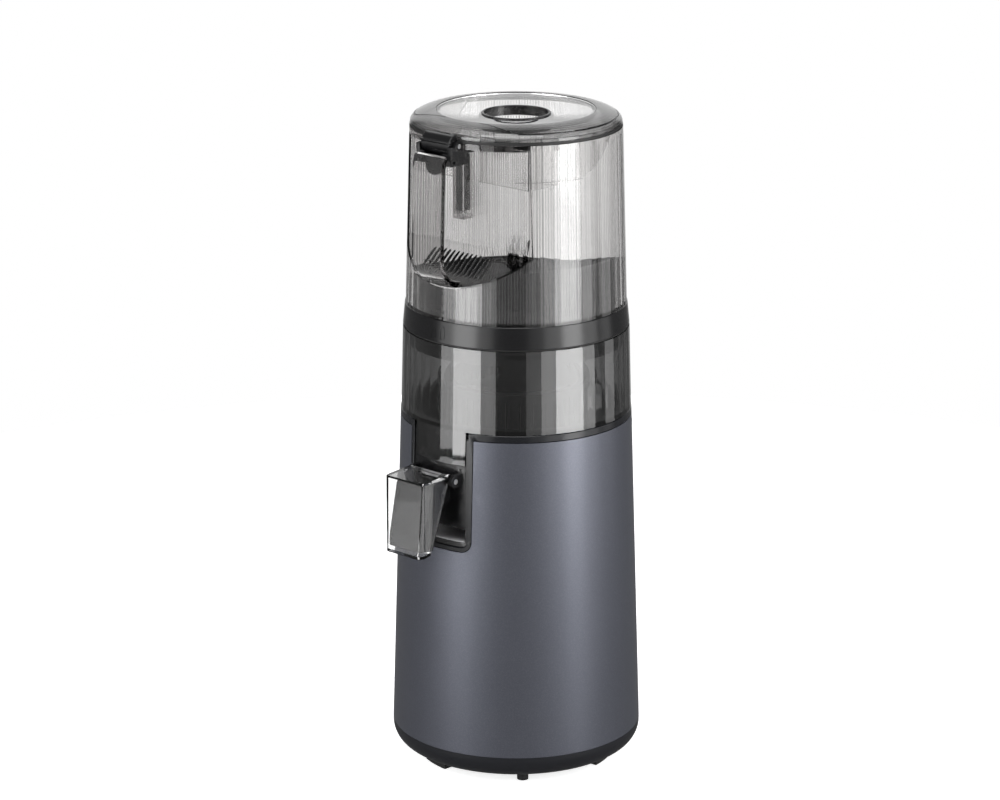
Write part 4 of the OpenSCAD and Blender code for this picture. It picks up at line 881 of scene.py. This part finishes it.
@dataclass
class HopperUnit:
    """Collar, clear hopper with its handle strap, funnel and bracket."""

    shop: PaintShop
    collar_face: Surface = Surface(315.2, 78.2, 328.5, 76.7)
    hopper_face: Surface = Surface(328.5, 73.8, 451.6, 70.4)
    mark_line: float = 0.55
    mark_rise: float = 0.06
    mark_sink: float = 0.3
    lock_turn: float = -4.0
    lock_z: float = 319.4
    bar_turn: float = 2.0
    bar_z: float = 320.2
    level_z: float = 426.4
    level_line: float = 0.35
    level_rise: float = -0.1
    level_sink: float = 0.3
    level_turns: tuple[float, float] = (41.0, 80.0)
    pointer_turn: float = 60.5
    ramp_top: tuple[float, float] = (48.0, 375.4)
    ramp_slope: float = 0.847
    rib_count: int = 13
    rib_pitch: float = 4.0
    rib_span: tuple[float, float] = (53.0, 66.0)
    rib_size: tuple[float, float] = (1.3, 1.8)
    fin_places: tuple[tuple[float, float], ...] = ((31.0, 386.0), (36.0, 386.5), (44.0, 385.0))
    fin_w: float = 43.0
    fin_foot: float = 362.0
    ribs_foot: float = 332.5
    pocket_foot: float = 339.0
    fine_pitch: float = 1.9
    flat_half: float = 52.0
    flat_w: float = 45.6
    flat_reach: tuple[float, float] = (376.0, 447.0)
    edges: dict[str, float] = field(default_factory=lambda: {
        "hopper_seal": 0.0, "collar": 0.4, "hopper": 0.0, "funnel": 0.3, "handle_bracket": 0.5,
        "bracket_screws": 0.0, "hinge_pin": 0.0, "trigger_pin": 0.0, "trigger": 0.5, "interlock_rod": 0.5,
        "rod_spring": 0.0,
    })

    def build_lock_marks(self) -> None:
        """Draws a plain padlock and an upright bar on the collar."""
        half, corner, bow_r = 2.0, 0.6, 1.25
        low, high, bow_z = self.lock_z - 4.0, self.lock_z + 0.6, self.lock_z + 2.2
        in_x, in_low, in_high = half - corner, low + corner, high - corner
        body = [*arc(in_x, in_low, corner, -90, 0, 4), *arc(in_x, in_high, corner, 0, 90, 4),
                *arc(-in_x, in_high, corner, 90, 180, 4), *arc(-in_x, in_low, corner, 180, 270, 4)]
        bow = arc(0.0, bow_z, bow_r, 0, 180)
        shackle = [(bow_r, high), *bow, (-bow_r, high)]
        bar_half, reach = 1.7, 4.4
        bar = [*arc(0.0, self.bar_z + reach - bar_half, bar_half, 0, 180),
               *arc(0.0, self.bar_z - reach + bar_half, bar_half, 180, 360)]

        def lines(bm: Mesh) -> None:
            """Adds the three outlines."""
            for points, turn, closed in ((body, self.lock_turn, True), (shackle, self.lock_turn, False),
                                         (bar, self.bar_turn, True)):
                path = [self.collar_face.place(x, z, turn) for x, z in points]
                add_stroke(bm, path, self.mark_line, self.mark_rise, self.mark_sink, closed=closed)

        marks = new_mesh("lock_marks", lines)
        self.shop.finish_piece(marks, "black_plastic", "hopper_unit")

    def build_level_mark(self) -> None:
        """Draws the fill line and its pointer inside the hopper wall."""
        first, last = self.level_turns
        steps = 40
        turns = [first + (last - first) * i / steps for i in range(steps + 1)]
        line = [self.hopper_face.place(0.0, self.level_z, turn) for turn in turns]
        gap, half, drop = 1.6, 4.5, 3.6
        top = self.level_z - gap
        pointer = [(-half, top), (half, top), (0.0, top - drop)]

        def lines(bm: Mesh) -> None:
            """Adds the line and the pointer."""
            path = [self.hopper_face.place(x, z, self.pointer_turn) for x, z in pointer]
            for points, closed in ((line, False), (path, True)):
                add_stroke(bm, points, self.level_line, self.level_rise, self.level_sink, closed=closed)

        mark = new_mesh("fill_line", lines)
        self.shop.finish_piece(mark, "black_plastic", "hopper_unit")

    def ramp_point(self, x: float, w: float, rise: float) -> Vector:
        """Finds a point over the pocket's sloping floor.

        Args:
            x: Distance across, in millimetres.
            w: Distance towards the front, in millimetres.
            rise: Height over the floor, in millimetres.

        Returns:
            The point in metres.
        """
        top_w, top_z = self.ramp_top
        return Vector((x, -w, top_z - self.ramp_slope * (w - top_w) + rise)) * MM

    def build_ramp_ribs(self) -> None:
        """Builds the row of dark ribs on the pocket's sloping floor."""
        width, height = self.rib_size
        first, last = self.rib_span
        steps, sink, crown_from, crown_span = 6, -0.3, 0.12, 0.76

        def ribs(bm: Mesh) -> None:
            """Lofts one low crowned rib at each pitch."""
            for i in range(self.rib_count):
                middle = (i - (self.rib_count - 1) / 2) * self.rib_pitch
                rings = []
                for k in range(steps + 1):
                    w = first + (last - first) * k / steps
                    crown = height * math.sin(math.pi * (crown_from + crown_span * k / steps))
                    corners = ((-1 / 2, sink), (-1 / 3, crown), (1 / 3, crown), (1 / 2, sink))
                    rings.append([self.ramp_point(middle + width * share, w, rise)
                                  for share, rise in corners])
                add_loft(bm, rings)

        self.shop.finish_piece(new_mesh("ramp_ribs", ribs), "black_plastic", "hopper_unit")

    def build_flat_ribs(self) -> None:
        """Builds the fine upright ribs on the flat wall behind the strap."""
        width, height, bury, steps = 1.35, 0.45, 0.1, 5
        last = int(self.flat_half / self.fine_pitch)

        def ribs(bm: Mesh) -> None:
            """Lofts one slim half-round rib at each pitch."""
            for i in range(-last, last + 1):
                rings = []
                for z in self.flat_reach:
                    ring = []
                    for k in range(steps + 1):
                        angle = math.pi * k / steps
                        across = i * self.fine_pitch + width / 2 * math.cos(angle)
                        back = (height + bury) * math.sin(angle) - bury - self.flat_w
                        ring.append(Vector((across, back, z)) * MM)
                    rings.append(ring)
                add_loft(bm, rings)

        obj = self.shop.finish_piece(new_mesh("flat_ribs", ribs), "dish_clear", "hopper_unit")
        smooth_by_angle(obj, FINE_SMOOTH)

    def build_foot_ribs(self) -> None:
        """Builds the fine dark ribs that stand round the foot of the funnel."""
        count, width, height, steps, off_wall = 200, 1.1, 0.3, 4, 0.32

        def ribs(bm: Mesh) -> None:
            """Lofts one slim half-round rib at each place."""
            for i in range(count):
                turn = 360 * (i + 0.5) / count
                rings = []
                for z in (self.ribs_foot, self.pocket_foot):
                    wall = self.hopper_face.radius(z) - off_wall
                    ring = []
                    for k in range(steps + 1):
                        angle = math.pi * k / steps
                        across = math.degrees(width / 2 * math.cos(angle) / wall)
                        ring.append(front_point(turn + across, wall + height * math.sin(angle), z))
                    rings.append(ring)
                add_loft(bm, rings)

        obj = self.shop.finish_piece(new_mesh("foot_ribs", ribs), "black_plastic", "hopper_unit")
        smooth_by_angle(obj, FINE_SMOOTH)

    def build_feed_fins(self) -> None:
        """Builds the slim dark fins that stand on the funnel beside the pocket."""
        half, lean, sideways, steps = 0.55, 5.0, 0.6, 8
        foot_depth, tip_depth, taper = 6.0, 0.5, 0.7

        def fins(bm: Mesh) -> None:
            """Lofts each fin from its foot to its thin tip."""
            for x, top in self.fin_places:
                rings = []
                for k in range(steps + 1):
                    share = k / steps
                    z = self.fin_foot + (top - self.fin_foot) * share
                    back = self.fin_w - lean * share ** 2
                    deep = foot_depth * (1 - share) ** taper + tip_depth
                    side = x + lean * sideways * share ** 2
                    rings.append([Vector((side + sx * half, -(back - sy * deep), z)) * MM
                                  for sx, sy in ((-1, 0), (1, 0), (1, 1), (-1, 1))])
                add_loft(bm, rings)

        self.shop.finish_piece(new_mesh("feed_fins", fins), "black_plastic", "hopper_unit")

    def build(self) -> None:
        """Dresses the hopper's CAD nodes and builds its marks, ribs and fins."""
        self.shop.dress_all(self.edges)
        self.build_lock_marks()
        self.build_level_mark()
        self.build_ramp_ribs()
        self.build_flat_ribs()
        self.build_foot_ribs()
        self.build_feed_fins()


@dataclass
class Lid:
    """Smoke-coloured lid with its dish, feed collar, skirt and hinge."""

    shop: PaintShop
    dish_r: float = 54.5
    lid_r: float = 72.3
    lid_top: float = 462.6
    slope_h: float = 8.0
    groove_r: float = 69.2
    groove_turns: tuple[float, float] = (15.7, 46.0)
    groove_in: float = 1.5
    groove_w: float = 0.8
    groove_rise: float = -0.25
    groove_sink: float = 0.6
    skirt_z: float = 451.66
    edges: dict[str, float] = field(default_factory=lambda: {
        "lid_cover": 0.25, "lid_dish": 0.3, "lid_port": 0.3, "lid_skirt": 0.0, "lid_hinge": 0.6,
    })

    def groove_radius(self, turn: float) -> float:
        """Finds the groove's distance from the axis.

        Args:
            turn: Angle from the front, in degrees, without its sign.

        Returns:
            The radius in millimetres.
        """
        first, last = self.groove_turns
        share = min(1.0, max(0.0, (turn - first) / (last - first)))
        start = self.dish_r + self.groove_in
        return start + (self.groove_r - start) * share * share * (3 - 2 * share)

    def slope_point(self, turn: float, radius: float) -> Placed:
        """Lays a point on the lid's rounded slope.

        Args:
            turn: Angle from the front, in degrees.
            radius: Distance from the axis, in millimetres.

        Returns:
            The point and the outward normal, in metres.
        """
        reach = self.lid_r - self.dish_r
        out = (radius - self.dish_r) / reach
        z = self.lid_top - self.slope_h * (1 - math.sqrt(1 - out * out))
        point = front_point(turn, radius, z)
        level = front_point(turn, 1.0, 0.0).normalized() * (out / reach)
        rise = Vector((0.0, 0.0, math.sqrt(1 - out * out) / self.slope_h))
        return point, (level + rise).normalized()

    def build_groove_line(self) -> None:
        """Builds a dark strip in the wavy groove of the slope, as painted shadow of the groove."""
        first = self.groove_turns[0]
        steps = 160
        turns = [first + (360 - 2 * first) * i / steps for i in range(steps + 1)]
        path = [self.slope_point(t, self.groove_radius(min(t, 360 - t))) for t in turns]

        def line(bm: Mesh) -> None:
            """Adds the painted shadow strip just below the surface."""
            add_stroke(bm, path, self.groove_w, self.groove_rise, self.groove_sink)

        self.shop.finish_piece(new_mesh("groove_shadow_strip", line), "black_plastic", "lid")

    def build_ring(self, name: str, slot: str, profile: list[Flat]) -> None:
        """Builds a ring round the lid from a small profile.

        Args:
            name: Name of the piece.
            slot: Material slot.
            profile: Radius and height of each corner, in millimetres.
        """
        count = 192

        def ring(bm: Mesh) -> None:
            """Turns the profile round the axis."""
            rings = [[front_point(360 * i / count, r, z) for r, z in profile] for i in range(count)]
            rings.append(rings[0])
            add_loft(bm, rings, caps=False)
            bmesh.ops.remove_doubles(bm, verts=bm.verts, dist=SAME_POINT)

        self.shop.finish_piece(new_mesh(name, ring), slot, "lid")

    def build(self) -> None:
        """Dresses the lid's CAD nodes and builds its dark lines of painted shade: in the groove, round the
        dish and at the lower edge.
        """
        self.shop.dress_all(self.edges)
        self.build_groove_line()
        top = self.lid_top - 0.4
        inner, ridge, outer = self.dish_r - 0.45, self.dish_r - 0.2, self.dish_r + 0.1
        # Painted shade: a thin black ring inside the lid at the dish's edge, where that edge looks dark.
        self.build_ring("dish_rim_shade", "black_plastic",
                        [(inner, top - 0.4), (outer, top - 0.4), (outer, top + 0.1),
                         (ridge, top + 0.25), (inner, top + 0.1)])
        foot, head = self.skirt_z, self.skirt_z + 2.0
        inner, corner, outer = self.lid_r - 2.4, self.lid_r - 0.1, self.lid_r + 0.1
        # Painted shadow: a dark ring inside the lid's lower edge, where the gap under the lid lies in shade.
        self.build_ring("lid_gap_shadow_ring", "dark_rubber",
                        [(inner, foot), (corner, foot), (outer, foot + 0.3), (outer, head), (inner, head)])


# Studio


@dataclass(frozen=True)
class SoftBox:
    """An area lamp that faces the machine's axis, in degrees, metres and watts."""

    name: str
    azimuth: float
    width: float
    power: float
    tall: float = 1.5
    distance: float = 1.5
    height: float = 0.58
    target: float = 0.38


SOFT_BOXES = (
    SoftBox("soft_box_left", -10.0, 0.72, 18.0),
    SoftBox("soft_box_left_outer", -31.5, 0.38, 3.6),
    SoftBox("soft_box_left_inner", 12.0, 0.38, 2.5),
    SoftBox("soft_box_right", 99.0, 0.62, 18.0),
    SoftBox("soft_box_right_inner", 77.5, 0.44, 4.0),
    SoftBox("soft_box_right_fade", 61.0, 0.36, 0.9),
    SoftBox("soft_box_right_outer", 121.0, 0.46, 4.2),
    SoftBox("soft_box_right_edge", 142.0, 0.44, 1.8),
    SoftBox("soft_box_top", 30.0, 1.2, 14.0, tall=1.2, distance=0.5, height=1.9, target=0.3),
)


def light_path(bench: NodeBench) -> tuple[Socket, Socket]:
    """Tells the rays of a material or a world apart.

    Args:
        bench: The bench to add to.

    Returns:
        What is 1 for camera and transmission rays, and what is 1 for glossy rays.
    """
    ray = bench.add("ShaderNodeLightPath")
    seen = bench.maths("ADD", ray.outputs["Is Camera Ray"], ray.outputs["Is Transmission Ray"], clamp=True)
    return seen, ray.outputs["Is Glossy Ray"]


@dataclass
class Studio:
    """Pale floor, soft boxes, white backdrop and the camera."""

    camera_azimuth: float = 42.0
    camera_distance: float = 2.3754
    camera_height: float = 0.9511
    camera_pitch: float = 16.31
    camera_lens: float = 128.2
    camera_shift: float = -0.0162
    floor_radius: float = 0.9
    floor_tone: float = 0.8
    floor_roughness: float = 0.9
    floor_glow: float = 0.75
    room: float = 0.14
    backdrop_rise: float = 14.0
    backdrop_reach: tuple[float, float] = (36.0, 20.0)
    ambient: float = 0.37

    def aim(self, azimuth: float, distance: float, height: float) -> Vector:
        """Finds a place round the machine.

        Args:
            azimuth: Angle from the front, in degrees, positive towards +X.
            distance: Distance from the axis, in metres.
            height: Height in metres.

        Returns:
            The place in metres.
        """
        a = math.radians(azimuth)
        return Vector((distance * math.sin(a), -distance * math.cos(a), height))

    def add_camera(self) -> None:
        """Places the camera and makes it the scene's own."""
        data = bpy.data.cameras.new("camera")
        data.sensor_width = 36.0
        data.lens = self.camera_lens
        data.shift_x = self.camera_shift
        camera = bpy.data.objects.new("camera", data)
        camera.location = self.aim(self.camera_azimuth, self.camera_distance, self.camera_height)
        camera.rotation_euler = (math.radians(90 - self.camera_pitch), 0.0, math.radians(self.camera_azimuth))
        bpy.context.scene.collection.objects.link(camera)
        bpy.context.scene.camera = camera

    def add_box(self, box: SoftBox) -> None:
        """Adds a soft box.

        Args:
            box: Its name, place, size and power.
        """
        data = bpy.data.lights.new(box.name, "AREA")
        data.shape = "RECTANGLE"
        data.size, data.size_y = box.width, box.tall
        data.energy = box.power
        lamp = bpy.data.objects.new(box.name, data)
        lamp.location = self.aim(box.azimuth, box.distance, box.height)
        lamp.rotation_mode = "QUATERNION"
        facing = Vector((0, 0, box.target)) - lamp.location
        lamp.rotation_quaternion = facing.to_track_quat("-Z", "Y")
        bpy.context.scene.collection.objects.link(lamp)

    def add_world(self) -> None:
        """Makes the world white where it is seen or looked through.

        Reflections see white only round one fixed direction, behind the machine from the camera's
        side, and a dim room elsewhere.
        """
        world = bpy.data.worlds.new("studio")
        world.use_nodes = True
        bpy.context.scene.world = world
        bench = NodeBench(world.node_tree)
        background = world.node_tree.nodes["Background"]
        seen, glossy = light_path(bench)
        rise = math.radians(self.backdrop_rise)
        behind = self.aim(self.camera_azimuth + 180.0, math.cos(rise), math.sin(rise))
        facing = bench.add("ShaderNodeVectorMath", operation="DOT_PRODUCT")
        bench.join(bench.add("ShaderNodeTexCoord").outputs["Generated"], facing.inputs[0])
        facing.inputs[1].default_value = behind
        edge, full = (math.cos(math.radians(a)) for a in self.backdrop_reach)
        fade = bench.add("ShaderNodeMapRange", interpolation_type="SMOOTHSTEP")
        for item, socket in zip((facing.outputs["Value"], edge, full, self.room, 1.0), fade.inputs):
            bench.feed(item, socket)
        gloss = bench.maths("MULTIPLY", glossy, fade.outputs[0])
        not_glossy = bench.maths("SUBTRACT", 1.0, glossy)
        fill = bench.maths("MULTIPLY", not_glossy, self.ambient)
        unseen = bench.maths("ADD", gloss, fill)
        strength = bench.maths("MAXIMUM", seen, unseen)
        background.inputs["Color"].default_value = (1.0, 1.0, 1.0, 1.0)
        bench.join(strength, background.inputs["Strength"])

    def floor_material(self) -> bpy.types.Material:
        """Makes the pale floor, white to the eye but for the machine's shadow.

        The floor is hidden from glossy rays, so their share of the glow has no effect.

        Returns:
            The material.
        """
        material, bench, shader = start_material("studio_floor")
        seen, glossy = light_path(bench)
        shown = bench.maths("ADD", seen, glossy, clamp=True)
        glow = bench.maths("MULTIPLY", shown, self.floor_glow)
        set_inputs(shader, {"Base Color": (self.floor_tone,) * 3 + (1.0,), "Roughness": self.floor_roughness,
                            "Emission Color": (1.0, 1.0, 1.0, 1.0)})
        bench.join(glow, shader.inputs["Emission Strength"])
        return material

    def add_floor(self) -> None:
        """Lays a round pale floor, hidden from glossy rays, so that nothing mirrors it."""

        def disc(bm: Mesh) -> None:
            """Fills a fine circle."""
            bmesh.ops.create_circle(bm, cap_ends=True, segments=96, radius=self.floor_radius)

        floor = new_mesh("floor", disc)
        floor.data.materials.append(self.floor_material())
        floor.visible_glossy = False

    def build(self) -> None:
        """Sets the stage and the colour management."""
        scene = bpy.context.scene
        scene.view_settings.view_transform = "Standard"
        self.add_camera()
        for box in SOFT_BOXES:
            self.add_box(box)
        self.add_world()
        self.add_floor()


def main() -> None:
    """Loads the frame and builds every sub-assembly and the studio."""
    logging.basicConfig(level=logging.INFO, format="%(name)s: %(message)s")
    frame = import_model()
    shop = PaintShop(frame["record"], frame["nodes"])
    for part in (MotorBase, Drive, JuicingBowl, JuiceLever, HopperUnit, Lid):
        part(shop).build()
    Studio().build()


if __name__ == "__main__":
    main()
